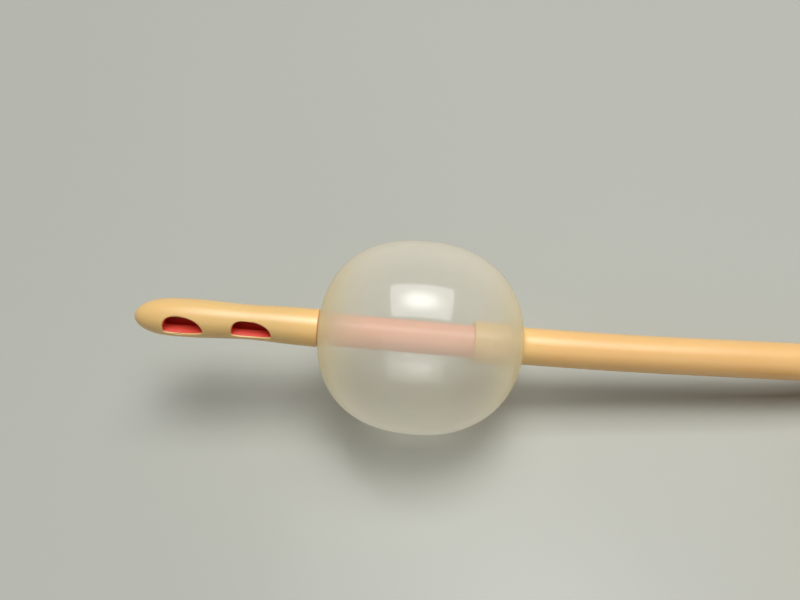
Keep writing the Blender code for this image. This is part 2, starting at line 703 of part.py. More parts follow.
def valve_outline():
    """Return the closed profile of the valve housing: luer socket, flange, chamber and stem.

    Distances run outwards from the end face of the arm.
    """
    rim = FLANGE_THICKNESS + LUER_LENGTH
    socket_end = rim - LUER_DEPTH
    mouth_r = LUER_MOUTH_BORE / 2
    deep_r = mouth_r - LUER_TAPER * LUER_DEPTH / 2
    seat = chamber_top()
    floor = chamber_floor()
    chamber_end = FIT - CHAMBER_LENGTH
    stem_end = chamber_end - STEM_LENGTH + 0.3 * MM
    stem_r, barb_r = STEM_OD / 2, STEM_OD / 2 + BARB_HEIGHT
    chamber_r, luer_r = CHAMBER_OD / 2, LUER_OD / 2
    profile = [
        (rim, mouth_r + 0.2 * MM), (rim - 0.2 * MM, mouth_r), (socket_end, deep_r),
        (socket_end, SEAT_BORE / 2), (seat, SEAT_BORE / 2), (seat, CHAMBER_BORE / 2),
        (floor, CHAMBER_BORE / 2), (floor, STEM_BORE / 2), (stem_end, STEM_BORE / 2),
    ]
    barbs = 2
    pitch = (STEM_LENGTH - 1.0 * MM) / barbs
    for i in range(barbs):
        start = stem_end + i * pitch
        profile += [(start, stem_r - 0.3 * MM if i == 0 else stem_r), (start + 0.8 * pitch, barb_r)]
        profile += [(start + 0.82 * pitch, stem_r)]
    profile += [
        (chamber_end, stem_r), (chamber_end, chamber_r - 0.3 * MM),
        (chamber_end + 0.3 * MM, chamber_r), (FIT, chamber_r),
        (FIT, FLANGE_OD / 2 - 0.2 * MM), (FIT + 0.2 * MM, FLANGE_OD / 2),
        (FLANGE_THICKNESS - 0.2 * MM, FLANGE_OD / 2), (FLANGE_THICKNESS, FLANGE_OD / 2 - 0.2 * MM),
        (FLANGE_THICKNESS, luer_r + 0.3 * MM), (FLANGE_THICKNESS + 0.4 * MM, luer_r),
        (rim - LUG_THICKNESS, luer_r), (rim - 0.2 * MM, luer_r - 0.1 * MM), (rim, luer_r - 0.3 * MM),
    ]
    return profile


def chamber_top():
    """Return the distance of the face that the seal closes against."""
    return FLANGE_THICKNESS + LUER_LENGTH - LUER_DEPTH - 0.9 * MM


def chamber_floor():
    """Return the distance of the chamber's floor, which the retainer lies on."""
    return FIT - CHAMBER_LENGTH + CHAMBER_FLOOR


def build_lug(parent, number):
    """Make one ear of the luer lock: a ring sector with straight sides."""
    rim = FLANGE_THICKNESS + LUER_LENGTH
    side = 1 if number == 0 else -1
    half = LUG_WIDTH / 2
    reach = math.sqrt((LUG_SPAN / 2) ** 2 - half ** 2)
    start = LUER_OD / 2 - 0.5 * MM
    outline = [(-half, side * start), (half, side * start), (half, side * reach)]
    outline += [(0.0, side * LUG_SPAN / 2), (-half, side * reach)]
    base = np.array((rim - LUG_THICKNESS - 0.15 * MM, 0.0, 0.0))
    across, up = np.array((0.0, 1.0, 0.0)), np.array((0.0, 0.0, 1.0))
    outward = np.array((1.0, 0.0, 0.0))
    return add_tool(f"lug_{number}", extruded(outline, base, across, up, outward, LUG_THICKNESS), parent)


def notched_ring(start, end, inner, outer, depth, notches):
    """Make a flat ring whose rim has notches that let the fluid past."""
    bm = bmesh.new()
    count = 8 * notches
    radii = [outer - depth if i % 8 in (3, 4) else outer for i in range(count)]
    rings = []
    for s, across in ((start, None), (start, radii), (end, radii), (end, None)):
        ring = []
        for i in range(count):
            radius = across[i] if across else inner
            ring.append(bm.verts.new(STRAIGHT.at(s, 360.0 * i / count, radius)))
        rings.append(ring)
    for ring, other in zip(rings, rings[1:] + rings[:1]):
        bridge(bm, ring, other)
    return bm


def build_valve(materials, frame):
    """Make the valve's housing, collar, poppet, seal, spring and retainer in the valve's frame."""
    housing = turned(STRAIGHT, valve_outline(), ARM_SIDES)
    housing = add_object("valve_housing", housing, materials["white_plastic"], frame)
    for number in range(2):
        combine(housing, build_lug(frame, number), "UNION")

    inner, outer = ARM_END_OD / 2 + FIT, COLLAR_OD / 2
    chamfer = 0.3 * MM
    collar = turned(STRAIGHT, [
        (-COLLAR_LENGTH + 0.2 * MM, inner), (-COLLAR_LENGTH + 0.2 * MM, outer - chamfer),
        (-COLLAR_LENGTH + 0.2 * MM + chamfer, outer), (-chamfer, outer),
        (0.0, outer - chamfer), (0.0, inner),
    ], ARM_SIDES)
    add_object("size_collar", collar, materials["orange_plastic"], frame)

    seat = chamber_top()
    seal_back = seat - FIT - SEAL_THICKNESS
    head_back = seal_back - FIT - POPPET_HEAD_THICKNESS
    retainer_back = chamber_floor() + FIT
    retainer_face = retainer_back + RETAINER_THICKNESS
    guide_end = retainer_back + 0.2 * MM
    stem_r, head_r = POPPET_STEM_OD / 2, POPPET_HEAD_OD / 2
    stem_top = FLANGE_THICKNESS + LUER_LENGTH - LUER_DEPTH + POPPET_STEM_REST + POPPET_TRAVEL
    poppet = add_object("valve_poppet", turned(STRAIGHT, [
        (stem_top, 0.0), (stem_top, stem_r - 0.2 * MM), (stem_top - 0.2 * MM, stem_r),
        (seal_back - FIT, stem_r), (seal_back - FIT, head_r), (head_back, head_r),
        (head_back, POPPET_GUIDE_OD / 2), (guide_end, POPPET_GUIDE_OD / 2), (guide_end, 0.0),
    ], ARM_SIDES, closed=False), materials["poppet_plastic"], frame)
    add_object("poppet_seal", turned(STRAIGHT, [
        (seal_back, stem_r + FIT), (seal_back, SEAL_OD / 2), (seat - FIT - 0.2 * MM, SEAL_OD / 2),
        (seat - FIT, SEAL_OD / 2 - 0.2 * MM), (seat - FIT, stem_r + FIT),
    ], ARM_SIDES), materials["seal_rubber"], poppet)

    retainer = notched_ring(
        retainer_back, retainer_face, POPPET_GUIDE_OD / 2 + RUNNING,
        CHAMBER_BORE / 2 - 2 * FIT, NOTCH_DEPTH, NOTCHES,
    )
    add_object("spring_retainer", retainer, materials["white_plastic"], frame)
    build_spring(materials["spring_steel"], frame, retainer_face + FIT, head_back - FIT)


def build_spring(material, parent, start, end):
    """Make the valve's compression spring between two faces."""
    wire_r = SPRING_WIRE / 2
    coil_r = SPRING_OD / 2 - wire_r
    steps = round(SPRING_TURNS * 12)
    centres, frames = [], []
    for i in range(steps + 1):
        share = i / steps
        turn = math.tau * SPRING_TURNS * share
        outward = np.array((0.0, math.cos(turn), math.sin(turn)))
        s = start + wire_r + (end - start - SPRING_WIRE) * share
        centres.append(np.array((s, 0.0, 0.0)) + coil_r * outward)
        frames.append((outward, np.array((1.0, 0.0, 0.0))))
    add_object("valve_spring", swept(centres, frames, wire_r, 6), material, parent)


def make_materials():
    """Return the materials by name, with colours read from the photograph."""
    return {
        "core_latex": make_material("core_latex", (0.42, 0.05, 0.04), 0.45),
        "coat_latex": make_material("coat_latex", (0.78, 0.46, 0.17), 0.32),
        "balloon_latex": make_material("balloon_latex", (0.72, 0.70, 0.52), 0.15, alpha=0.35),
        "funnel_latex": make_material("funnel_latex", (0.75, 0.43, 0.16), 0.40),
        "white_plastic": make_material("white_plastic", (0.80, 0.80, 0.77), 0.35),
        "orange_plastic": make_material("orange_plastic", (0.80, 0.20, 0.02), 0.35),
        "poppet_plastic": make_material("poppet_plastic", (0.30, 0.42, 0.55), 0.40),
        "seal_rubber": make_material("seal_rubber", (0.03, 0.03, 0.03), 0.60),
        "spring_steel": make_material("spring_steel", (0.55, 0.55, 0.55), 0.25, metallic=1.0),
    }


def rest_on_floor():
    """Hang every piece on one empty and move it so that the box's base centre is the origin."""
    bpy.context.view_layer.update()
    graph = bpy.context.evaluated_depsgraph_get()
    corners = []
    for obj in bpy.context.scene.objects:
        if obj.type == "MESH" and not obj.hide_render:
            mesh = obj.evaluated_get(graph).to_mesh()
            corners += [obj.matrix_world @ v.co for v in mesh.vertices]
    low = [min(c[i] for c in corners) for i in range(3)]
    high = [max(c[i] for c in corners) for i in range(3)]
    base = Vector(((low[0] + high[0]) / 2, (low[1] + high[1]) / 2, low[2]))
    frame = bpy.data.objects.new("catheter_frame", None)
    bpy.context.scene.collection.objects.link(frame)
    for obj in list(bpy.context.scene.objects):
        if obj.parent is None and obj is not frame:
            obj.parent = frame
    frame.location = -base
    bpy.context.view_layer.update()


def main():
    """Build the catheter."""
    for obj in list(bpy.data.objects):
        bpy.data.objects.remove(obj, do_unlink=True)
    materials = make_materials()
    eyes = [eye_cutter(number, centre) for number, centre in enumerate(EYE_CENTRES, 1)]
    build_core(materials["core_latex"], eyes)
    build_tip_coat(materials["coat_latex"], eyes)
    build_balloon(materials["balloon_latex"])
    build_shaft_coat(materials["coat_latex"])
    funnel_frame, arm_frame, valve_frame, arm_direction = funnel_frames()
    build_funnel(materials["funnel_latex"], funnel_frame, arm_frame, arm_direction)
    build_valve(materials, valve_frame)
    rest_on_floor()


main()
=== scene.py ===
"""Dress of a two-way balloon urinary catheter that lies inflated on a pale table.

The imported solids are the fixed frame. Every latex, plastic and steel piece is remade here as a
smooth surface in the place of its solid. The surfaces are worked out as whole numpy arrays: a
profile turned about the line that the shaft lies on, or a section carried along it.

Lengths are in metres, written as multiples of MM. The tip points to -X and +Z is up.
"""
from __future__ import annotations

import logging
import math
from collections.abc import Sequence
from dataclasses import dataclass, field
from enum import Enum

import bpy
import numpy as np
from bpy.types import Material, Mesh, Node, NodeSocket, NodeTree, Object
from mathutils import Matrix, Vector

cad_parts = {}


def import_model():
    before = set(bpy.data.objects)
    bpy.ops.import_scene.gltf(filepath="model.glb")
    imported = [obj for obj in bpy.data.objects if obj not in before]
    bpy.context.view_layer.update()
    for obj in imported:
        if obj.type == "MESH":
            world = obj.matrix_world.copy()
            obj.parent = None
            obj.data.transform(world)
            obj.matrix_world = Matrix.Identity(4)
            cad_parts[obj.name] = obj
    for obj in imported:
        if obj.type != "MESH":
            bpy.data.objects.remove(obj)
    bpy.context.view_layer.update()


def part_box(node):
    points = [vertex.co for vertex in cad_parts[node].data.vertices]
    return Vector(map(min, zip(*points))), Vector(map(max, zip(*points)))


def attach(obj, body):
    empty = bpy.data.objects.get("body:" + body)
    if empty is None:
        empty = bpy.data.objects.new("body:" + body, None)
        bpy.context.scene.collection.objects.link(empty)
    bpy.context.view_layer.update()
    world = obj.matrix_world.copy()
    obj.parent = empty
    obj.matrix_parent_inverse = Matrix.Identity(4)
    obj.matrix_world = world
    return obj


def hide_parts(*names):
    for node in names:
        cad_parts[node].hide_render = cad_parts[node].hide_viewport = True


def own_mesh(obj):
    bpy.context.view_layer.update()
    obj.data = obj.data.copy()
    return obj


LOG = logging.getLogger("catheter")
Array = np.ndarray
MM = 0.001

# The gap between pieces that touch, so that no two faces fall together.
FIT = 0.03 * MM

# The lay of the shaft's axis in mm, from the tip to the funnel's neck. Its origin is the floor
# point under the balloon's centre, which falls at LAY_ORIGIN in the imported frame.
LAY_MM = (
    (-40.0, 0.0, 18.85), (-34.0, 0.0, 18.4), (-27.0, 0.0, 17.65), (-20.5, 0.0, 16.8),
    (-14.5, 0.0, 15.85), (0.0, 0.0, 13.7), (14.5, 0.0, 11.6), (20.0, 0.0, 10.9),
    (28.0, 0.0, 10.0), (37.0, 0.0, 9.2), (46.0, 0.0, 8.5), (56.0, 0.1, 7.6),
    (66.0, 1.1, 6.0), (75.8, 3.3, 4.25), (85.5, 6.1, 3.05), (95.7, 8.8, 2.7),
    (107.1, 10.5, 2.7), (120.0, 8.8, 2.7), (129.7, 2.9, 2.7), (136.0, -6.6, 2.7),
    (137.8, -17.4, 2.7), (135.4, -28.6, 2.7), (129.0, -38.0, 2.7), (119.0, -44.7, 2.7),
    (107.7, -48.2, 2.7), (96.7, -49.8, 2.7), (85.8, -50.7, 2.7), (75.8, -50.8, 2.7),
    (66.1, -48.5, 2.7), (58.6, -42.8, 2.7), (54.4, -34.4, 2.7), (54.3, -25.0, 2.7),
    (58.4, -16.5, 2.7), (65.8, -10.6, 2.8), (74.9, -8.4, 3.35), (83.4, -9.3, 4.0),
)
LAY_ORIGIN = np.array((-50.1455, 19.9747, 0.0497)) * MM


class Ends(Enum):
    """What happens at the two ends of a turned profile."""

    OPEN = "each end stays open or closes in a pole"
    RING = "the last point joins the first"


class Cut(Enum):
    """A Boolean operation between two closed meshes."""

    UNION = "UNION"
    DIFFERENCE = "DIFFERENCE"


class Body(Enum):
    """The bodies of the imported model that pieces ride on."""

    CATHETER = "catheter"
    POPPET = "poppet"


# --------------------------------------------------------------------------- lines and surfaces


def natural_spline(at: Array, knots: Array, where: Array) -> Array:
    """Read a natural cubic spline: between two knots, the cubic with their second derivatives.

    Args:
        at: Parameter of each knot, rising.
        knots: Knot values, one row each.
        where: Parameters to read the spline at.

    Returns:
        One row for each parameter.
    """
    chord = np.diff(at)
    count = len(at)
    inner = np.arange(1, count - 1)
    system = np.eye(count)
    system[inner, inner - 1] = chord[:-1]
    system[inner, inner] = 2.0 * (chord[:-1] + chord[1:])
    system[inner, inner + 1] = chord[1:]
    side = np.zeros_like(knots)
    side[1:-1] = 6.0 * np.diff(np.diff(knots, axis=0) / chord[:, None], axis=0)
    bend = np.linalg.solve(system, side)
    k = np.clip(np.searchsorted(at, where, side="right") - 1, 0, count - 2)
    span = chord[k][:, None]
    before = (at[k + 1] - where)[:, None]
    after = (where - at[k])[:, None]
    return (
        bend[k] * before**3 / (6 * span) + bend[k + 1] * after**3 / (6 * span)
        + (knots[k] / span - bend[k] * span / 6) * before
        + (knots[k + 1] / span - bend[k + 1] * span / 6) * after
    )


@dataclass(frozen=True)
class Frames:
    """Points on a line, each with its forward, left and up vectors, one row each."""

    point: Array
    forward: Array
    left: Array
    up: Array

    def place(self, left: Array, up: Array) -> Array:
        """Return points beside the line: point + left * left vector + up * up vector.

        Args:
            left: Offsets to the left, one row for each point on the line.
            up: Offsets upwards, of the same shape.

        Returns:
            A grid of that shape, of three coordinates each.
        """
        grid = self.point[:, None] + left[..., None] * self.left[:, None]
        return grid + up[..., None] * self.up[:, None]


@dataclass(frozen=True)
class StraightLine:
    """A straight line from an origin, with the same three vectors all along."""

    origin: Array
    forward: Array
    left: Array
    up: Array

    def frames(self, s: Array) -> Frames:
        """Work out frames, whose points are origin + s * forward.

        Args:
            s: Distances from the origin.

        Returns:
            One frame for each distance.
        """
        ones = np.ones((len(s), 1))
        point = self.origin + s[:, None] * self.forward
        return Frames(point, ones * self.forward, ones * self.left, ones * self.up)


class LaidLine:
    """The shaft's axis: a natural cubic spline through the lay points, read by arc length."""

    SPLINE_SAMPLES = 6000
    SEARCH_SAMPLES = 320
    SEARCH_BLOCK = 20000
    HALF_STEP = 0.2 * MM

    def __init__(self, knots: Array) -> None:
        """Sample the spline finely and measure the distance along it.

        Args:
            knots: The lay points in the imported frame.
        """
        chord = np.linalg.norm(np.diff(knots, axis=0), axis=1)
        at = np.concatenate(([0.0], np.cumsum(chord)))
        self.points = natural_spline(at, knots, np.linspace(0.0, at[-1], self.SPLINE_SAMPLES))
        steps = np.linalg.norm(np.diff(self.points, axis=0), axis=1)
        self.distance = np.concatenate(([0.0], np.cumsum(steps)))

    def at(self, s: Array) -> Array:
        """Read points off the line, which goes straight on beyond both ends.

        Args:
            s: Arc lengths.

        Returns:
            One point for each arc length.
        """
        length = self.distance[-1]
        inside = np.clip(s, 0.0, length)
        point = np.stack([np.interp(inside, self.distance, c) for c in self.points.T], axis=-1)
        tail = self.points[-1] - self.points[-2]
        head = self.points[1] - self.points[0]
        point += np.maximum(s - length, 0.0)[:, None] * tail / np.linalg.norm(tail)
        return point + np.minimum(s, 0.0)[:, None] * head / np.linalg.norm(head)

    def frames(self, s: Array) -> Frames:
        """Work out frames. Forward is a central difference, left is level, up = forward x left.

        Args:
            s: Arc lengths.

        Returns:
            One frame for each arc length.
        """
        forward = self.at(s + self.HALF_STEP) - self.at(s - self.HALF_STEP)
        forward /= np.linalg.norm(forward, axis=1, keepdims=True)
        left = np.stack((-forward[:, 1], forward[:, 0], np.zeros(len(s))), axis=-1)
        left /= np.linalg.norm(left, axis=1, keepdims=True)
        return Frames(self.at(s), forward, left, np.cross(forward, left))

    def straighten(self, points: Array, end: float) -> Array:
        """Give points near the line the place that they would have if it were straight.

        Args:
            points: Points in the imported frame.
            end: Distance at which the search along the line ends.

        Returns:
            (distance along, left, up) rows.
        """
        s = np.linspace(0.0, end, self.SEARCH_SAMPLES)
        frames = self.frames(s)
        near = np.empty(len(points), dtype=int)
        blocks = 1 + len(points) // self.SEARCH_BLOCK
        for part in np.array_split(np.arange(len(points)), blocks):
            gap = ((points[part, None] - frames.point[None]) ** 2).sum(axis=2)
            near[part] = gap.argmin(axis=1)
        away = points - frames.point[near]
        ahead = (away * frames.forward[near]).sum(axis=1)
        left = (away * frames.left[near]).sum(axis=1)
        return np.stack((s[near] + ahead, left, (away * frames.up[near]).sum(axis=1)), axis=-1)


Line = StraightLine | LaidLine


@dataclass
class Surface:
    """A mesh as arrays: points, their straightened coordinates, faces and the faces' slots."""

    points: Array
    straight: Array
    faces: list[Array]
    slots: list[Array]

    def __add__(self, other: Surface) -> Surface:
        """Put two meshes in one without welding them.

        Args:
            other: The mesh to add.

        Returns:
            A new mesh with both.
        """
        shift = len(self.points)
        return Surface(
            np.concatenate((self.points, other.points)),
            np.concatenate((self.straight, other.straight)),
            self.faces + [f + shift for f in other.faces], self.slots + other.slots,
        )


def grid_surface(
    grid: Array, straight: Array, ends: Ends = Ends.OPEN, slots: Array | None = None,
) -> Surface:
    """Make a surface of a grid that is closed around its columns.

    The faces are (i, j), (i, j+1), (i+1, j+1), (i+1, j), which point outwards where the rows run
    forward. A first or last row whose points fall together becomes one pole.

    Args:
        grid: Points of shape (rows, columns, 3).
        straight: Straightened coordinates of the same shape.
        ends: RING where the last row joins the first.
        slots: Material slot of each strip of faces between two rows.

    Returns:
        The surface, without unused points.
    """
    rows, columns = grid.shape[:2]
    index = np.arange(rows * columns).reshape(rows, columns)
    if ends is Ends.OPEN:
        poles = [i for i in (0, rows - 1) if np.ptp(grid[i], axis=0).max() < 1e-9]
        index[poles] = index[poles, :1]
    ahead = np.roll(index, -1, axis=0) if ends is Ends.RING else index[1:]
    here = index if ends is Ends.RING else index[:-1]
    quads = np.stack((here, np.roll(here, -1, 1), np.roll(ahead, -1, 1), ahead), axis=-1)
    slot = np.zeros(len(here), dtype=int) if slots is None else slots
    slot = np.repeat(slot, columns)
    quads = quads.reshape(-1, 4)
    from_pole = quads[:, 0] == quads[:, 1]
    to_pole = quads[:, 2] == quads[:, 3]
    whole = ~(from_pole | to_pole)
    faces = [quads[whole], quads[from_pole][:, [0, 2, 3]], quads[to_pole][:, [0, 1, 2]]]
    used = np.unique(np.concatenate([f.ravel() for f in faces]))
    number = np.zeros(rows * columns, dtype=int)
    number[used] = np.arange(len(used))
    return Surface(
        grid.reshape(-1, 3)[used], straight.reshape(-1, 3)[used],
        [number[f] for f in faces], [slot[whole], slot[from_pole], slot[to_pole]],
    )


def turned(
    line: Line, profile: Array, sides: int, ends: Ends = Ends.OPEN,
    slots: Array | None = None, shift: Array | None = None,
) -> Surface:
    """Turn a profile about a line: line(s) + r * (cos a * left + sin a * up).

    Args:
        line: The line to turn about.
        profile: (distance, radius) rows. Outside surfaces run forward, inside ones backward.
        sides: Points around.
        ends: RING for a hollow body that the profile goes round.
        slots: Material slot of each strip between two profile points.
        shift: (left, up) offset of each profile point's centre.

    Returns:
        The turned surface.
    """
    s, radius = profile[:, 0], profile[:, 1]
    angle = np.arange(sides) * math.tau / sides
    centre = np.zeros((len(s), 2)) if shift is None else shift
    left = centre[:, :1] + radius[:, None] * np.cos(angle)
    up = centre[:, 1:] + radius[:, None] * np.sin(angle)
    straight = np.stack((np.broadcast_to(s[:, None], left.shape), left, up), axis=-1)
    return grid_surface(line.frames(s).place(left, up), straight, ends, slots)


def rounded(profile: Array, radius: float, steps: int = 4) -> Array:
    """Round a profile's corners: each becomes the quadratic curve between points beside it.

    Args:
        profile: (distance, radius) rows. The first and the last stay as they are.
        radius: How far the curve reaches to each side, at most 0.45 of the run there.
        steps: Intervals in each curve.

    Returns:
        The rounded profile.
    """
    corner = profile[1:-1]
    back, ahead = profile[:-2] - corner, profile[2:] - corner
    back_run = np.linalg.norm(back, axis=1, keepdims=True)
    ahead_run = np.linalg.norm(ahead, axis=1, keepdims=True)
    a = corner + back / back_run * np.minimum(radius, 0.45 * back_run)
    b = corner + ahead / ahead_run * np.minimum(radius, 0.45 * ahead_run)
    t = np.linspace(0.0, 1.0, steps + 1)[None, :, None]
    curve = (1 - t) ** 2 * a[:, None] + 2 * t * (1 - t) * corner[:, None] + t**2 * b[:, None]
    return np.concatenate((profile[:1], curve.reshape(-1, 2), profile[-1:]))


def resampled(profile: Array, step: float) -> Array:
    """Add points to a profile, linear between its own, so that no run is long.

    Args:
        profile: (distance, radius) rows.
        step: The longest run that may stay.

    Returns:
        The profile with its added points.
    """
    run = np.linalg.norm(np.diff(profile, axis=0), axis=1)
    pieces = np.maximum(1, np.ceil(run / step)).astype(int)
    start = np.repeat(np.arange(len(run)), pieces)
    first = np.repeat(np.cumsum(pieces) - pieces, pieces)
    share = (np.arange(len(start)) - first) / pieces[start]
    mixed = profile[start] + share[:, None] * (profile[start + 1] - profile[start])
    return np.concatenate((mixed, profile[-1:]))


def prism(line: StraightLine, outline: Array, depth: float) -> Surface:
    """Carry a flat outline along a line: origin + x * left + y * up, with a fan over each end.

    Args:
        line: The line, which starts in the outline's plane.
        outline: (x, y) rows, anticlockwise seen from the far end.
        depth: Length of the prism.

    Returns:
        The closed surface.
    """
    ring = line.origin + outline[:, :1] * line.left + outline[:, 1:] * line.up
    far = ring + depth * line.forward
    low, high = ring.mean(axis=0) * np.ones_like(ring), far.mean(axis=0) * np.ones_like(ring)
    grid = np.stack((low, ring, far, high))
    return grid_surface(grid, grid)


# --------------------------------------------------------------------------- making pieces


def mesh_of(name: str, surface: Surface) -> Mesh:
    """Store a surface in a new mesh, with its straightened coordinates as an attribute.

    Args:
        name: The mesh's name.
        surface: What it shows.

    Returns:
        The mesh.
    """
    mesh = bpy.data.meshes.new(name)
    corners = np.concatenate([f.ravel() for f in surface.faces]).astype(np.int32)
    sizes = np.concatenate([np.full(len(f), f.shape[1]) for f in surface.faces])
    slots = np.concatenate(surface.slots).astype(np.int32)
    mesh.vertices.add(len(surface.points))
    mesh.vertices.foreach_set("co", surface.points.astype(np.float32).ravel())
    mesh.loops.add(len(corners))
    mesh.loops.foreach_set("vertex_index", corners)
    mesh.polygons.add(len(sizes))
    mesh.polygons.foreach_set("loop_start", (np.cumsum(sizes) - sizes).astype(np.int32))
    mesh.polygons.foreach_set("material_index", slots)
    mesh.update(calc_edges=True)
    mesh.validate()
    set_straight(mesh, surface.straight)
    return mesh


def set_straight(mesh: Mesh, straight: Array) -> None:
    """Write the straightened coordinates, which patterns along the shaft read.

    Args:
        mesh: The mesh to write to.
        straight: One row for each of its points.
    """
    name = "straight"
    attribute = mesh.attributes.get(name) or mesh.attributes.new(name, "FLOAT_VECTOR", "POINT")
    attribute.data.foreach_set("vector", straight.astype(np.float32).ravel())


def points_of(mesh: Mesh) -> Array:
    """Read a mesh's points.

    Args:
        mesh: The mesh.

    Returns:
        One row for each point.
    """
    flat = np.empty(3 * len(mesh.vertices), dtype=np.float32)
    mesh.vertices.foreach_get("co", flat)
    return flat.reshape(-1, 3).astype(float)


def add_object(name: str, shape: Mesh | Surface, *materials: Material) -> Object:
    """Add a mesh to the scene.

    Args:
        name: The name of the object and of its mesh.
        shape: The mesh, or the surface to make it of.
        materials: One for each slot.

    Returns:
        The object.
    """
    mesh = mesh_of(name, shape) if isinstance(shape, Surface) else shape
    obj = bpy.data.objects.new(name, mesh)
    bpy.context.scene.collection.objects.link(obj)
    for material in materials:
        mesh.materials.append(material)
    return obj


def bake_modifiers(obj: Object) -> None:
    """Replace an object's mesh by what its modifiers make of it.

    Args:
        obj: The object.
    """
    bpy.context.view_layer.update()
    graph = bpy.context.evaluated_depsgraph_get()
    mesh = bpy.data.meshes.new_from_object(obj.evaluated_get(graph))
    obj.modifiers.clear()
    obj.data = mesh


def cut(obj: Object, tool: Surface, how: Cut, material: Material | None = None) -> None:
    """Join a closed surface to an object, or cut it away.

    Args:
        obj: The object to change.
        tool: The closed surface.
        how: Union or difference.
        material: Material of the faces that the tool leaves, the object's first one if None.
    """
    other = add_object("tool", tool, *([material] if material else []))
    modifier = obj.modifiers.new("cut", "BOOLEAN")
    modifier.operation, modifier.solver, modifier.object = how.value, "EXACT", other
    modifier.material_mode = "TRANSFER" if material else "INDEX"
    bake_modifiers(obj)
    bpy.data.objects.remove(other, do_unlink=True)


def smooth(obj: Object, crease: float = 40.0) -> None:
    """Shade an object smooth, but for edges that are sharper than the crease in degrees."""
    obj.data.shade_smooth()
    obj.data.set_sharp_from_angle(angle=math.radians(crease))


def finish_piece(
    obj: Object, body: Body, nodes: Sequence[str], crease: float = 40.0,
) -> Object:
    """Shade a piece, name its body, and let it stand for its solids.

    Args:
        obj: The finished object.
        body: The body it rides on.
        nodes: The CAD nodes it replaces.
        crease: Angle in degrees above which an edge stays sharp.

    Returns:
        The same object.
    """
    smooth(obj, crease)
    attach(obj, body.value)
    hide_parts(*nodes)
    obj.data.calc_loop_triangles()
    LOG.info("%s: %d triangles on %s", obj.name, len(obj.data.loop_triangles), body.value)
    return obj


# --------------------------------------------------------------------------- finishes


def linear(hex_code: str, share: float = 1.0) -> tuple[float, float, float, float]:
    """Turn an sRGB colour to linear light: v / 12.92 if dark, else ((v + 0.055) / 1.055)^2.4.

    Args:
        hex_code: The colour, such as "E8B878".
        share: How much of it to take.

    Returns:
        Linear red, green and blue, and an alpha of 1.
    """
    value = np.array([int(hex_code[i:i + 2], 16) for i in (0, 2, 4)]) / 255.0
    value = np.where(value <= 0.04045, value / 12.92, ((value + 0.055) / 1.055) ** 2.4)
    return (*(float(v) * share for v in value), 1.0)


def per_mm(size_mm: float) -> float:
    """Return the texture scale that gives features of a size in millimetres."""
    return 1.0 / (size_mm * MM)


def add_node(
    tree: NodeTree, kind: str, settings: dict[str, object] | None = None,
    values: dict[str | int, object] | None = None,
    links: dict[str | int, Node | NodeSocket] | None = None,
) -> Node:
    """Add a node.

    Args:
        tree: The tree to add it to.
        kind: The node's type, without the word ShaderNode that starts it.
        settings: Properties of the node.
        values: Constant values of its input sockets.
        links: What to link to its input sockets: output sockets, or nodes for their first output.

    Returns:
        The node.
    """
    node = tree.nodes.new("ShaderNode" + kind)
    for name, value in (settings or {}).items():
        setattr(node, name, value)
    for socket, value in (values or {}).items():
        node.inputs[socket].default_value = value
    for socket, source in (links or {}).items():
        output = source.outputs[0] if isinstance(source, Node) else source
        tree.links.new(output, node.inputs[socket])
    return node


def empty_material(name: str) -> tuple[Material, NodeTree]:
    """Make a material without nodes.

    Args:
        name: The material's name.

    Returns:
        The material and its empty node tree.
    """
    material = bpy.data.materials.new(name)
    material.use_nodes = True
    material.node_tree.nodes.clear()
    return material, material.node_tree


def straight_coordinates(tree: NodeTree, stretch: float) -> Node:
    """Read the straightened coordinates.

    Args:
        tree: The material's node tree.
        stretch: How many times as long as wide the pattern is drawn along the shaft.

    Returns:
        The node that gives them.
    """
    source = add_node(tree, "Attribute", {"attribute_name": "straight"})
    return add_node(
        tree, "Mapping", values={"Scale": (1.0 / stretch, 1.0, 1.0)},
        links={"Vector": source.outputs["Vector"]},
    )


def clouded(
    tree: NodeTree, place: Node | NodeSocket, size_mm: float, tints: tuple[str, str],
    detail: float, roughness: float = 0.5,
) -> tuple[Node, NodeSocket]:
    """Mix two close tints by a cloudy noise.

    Args:
        tree: The material's node tree.
        place: Coordinates of the noise.
        size_mm: Size of the clouds.
        tints: The two colours.
        detail: Octaves of the noise.
        roughness: Weight of the finer octaves.

    Returns:
        The noise and the colour.
    """
    cloud = add_node(
        tree, "TexNoise",
        values={"Scale": per_mm(size_mm), "Detail": detail, "Roughness": roughness},
        links={"Vector": place},
    )
    tint = add_node(
        tree, "Mix", {"data_type": "RGBA"}, {6: linear(tints[0]), 7: linear(tints[1])}, {0: cloud},
    )
    return cloud, tint.outputs[2]


def relief(
    tree: NodeTree, place: Node | NodeSocket, size_mm: float, strength: float, height_mm: float,
) -> Node:
    """Add a fine uneven relief.

    Args:
        tree: The material's node tree.
        place: Coordinates of the relief.
        size_mm: Width of its waves.
        strength: How strongly it shows.
        height_mm: Height of its waves.

    Returns:
        The node that gives the normal.
    """
    wave = add_node(
        tree, "TexNoise", values={"Scale": per_mm(size_mm), "Detail": 2.0},
        links={"Vector": place},
    )
    return add_node(
        tree, "Bump", values={"Strength": strength, "Distance": height_mm * MM},
        links={"Height": wave},
    )


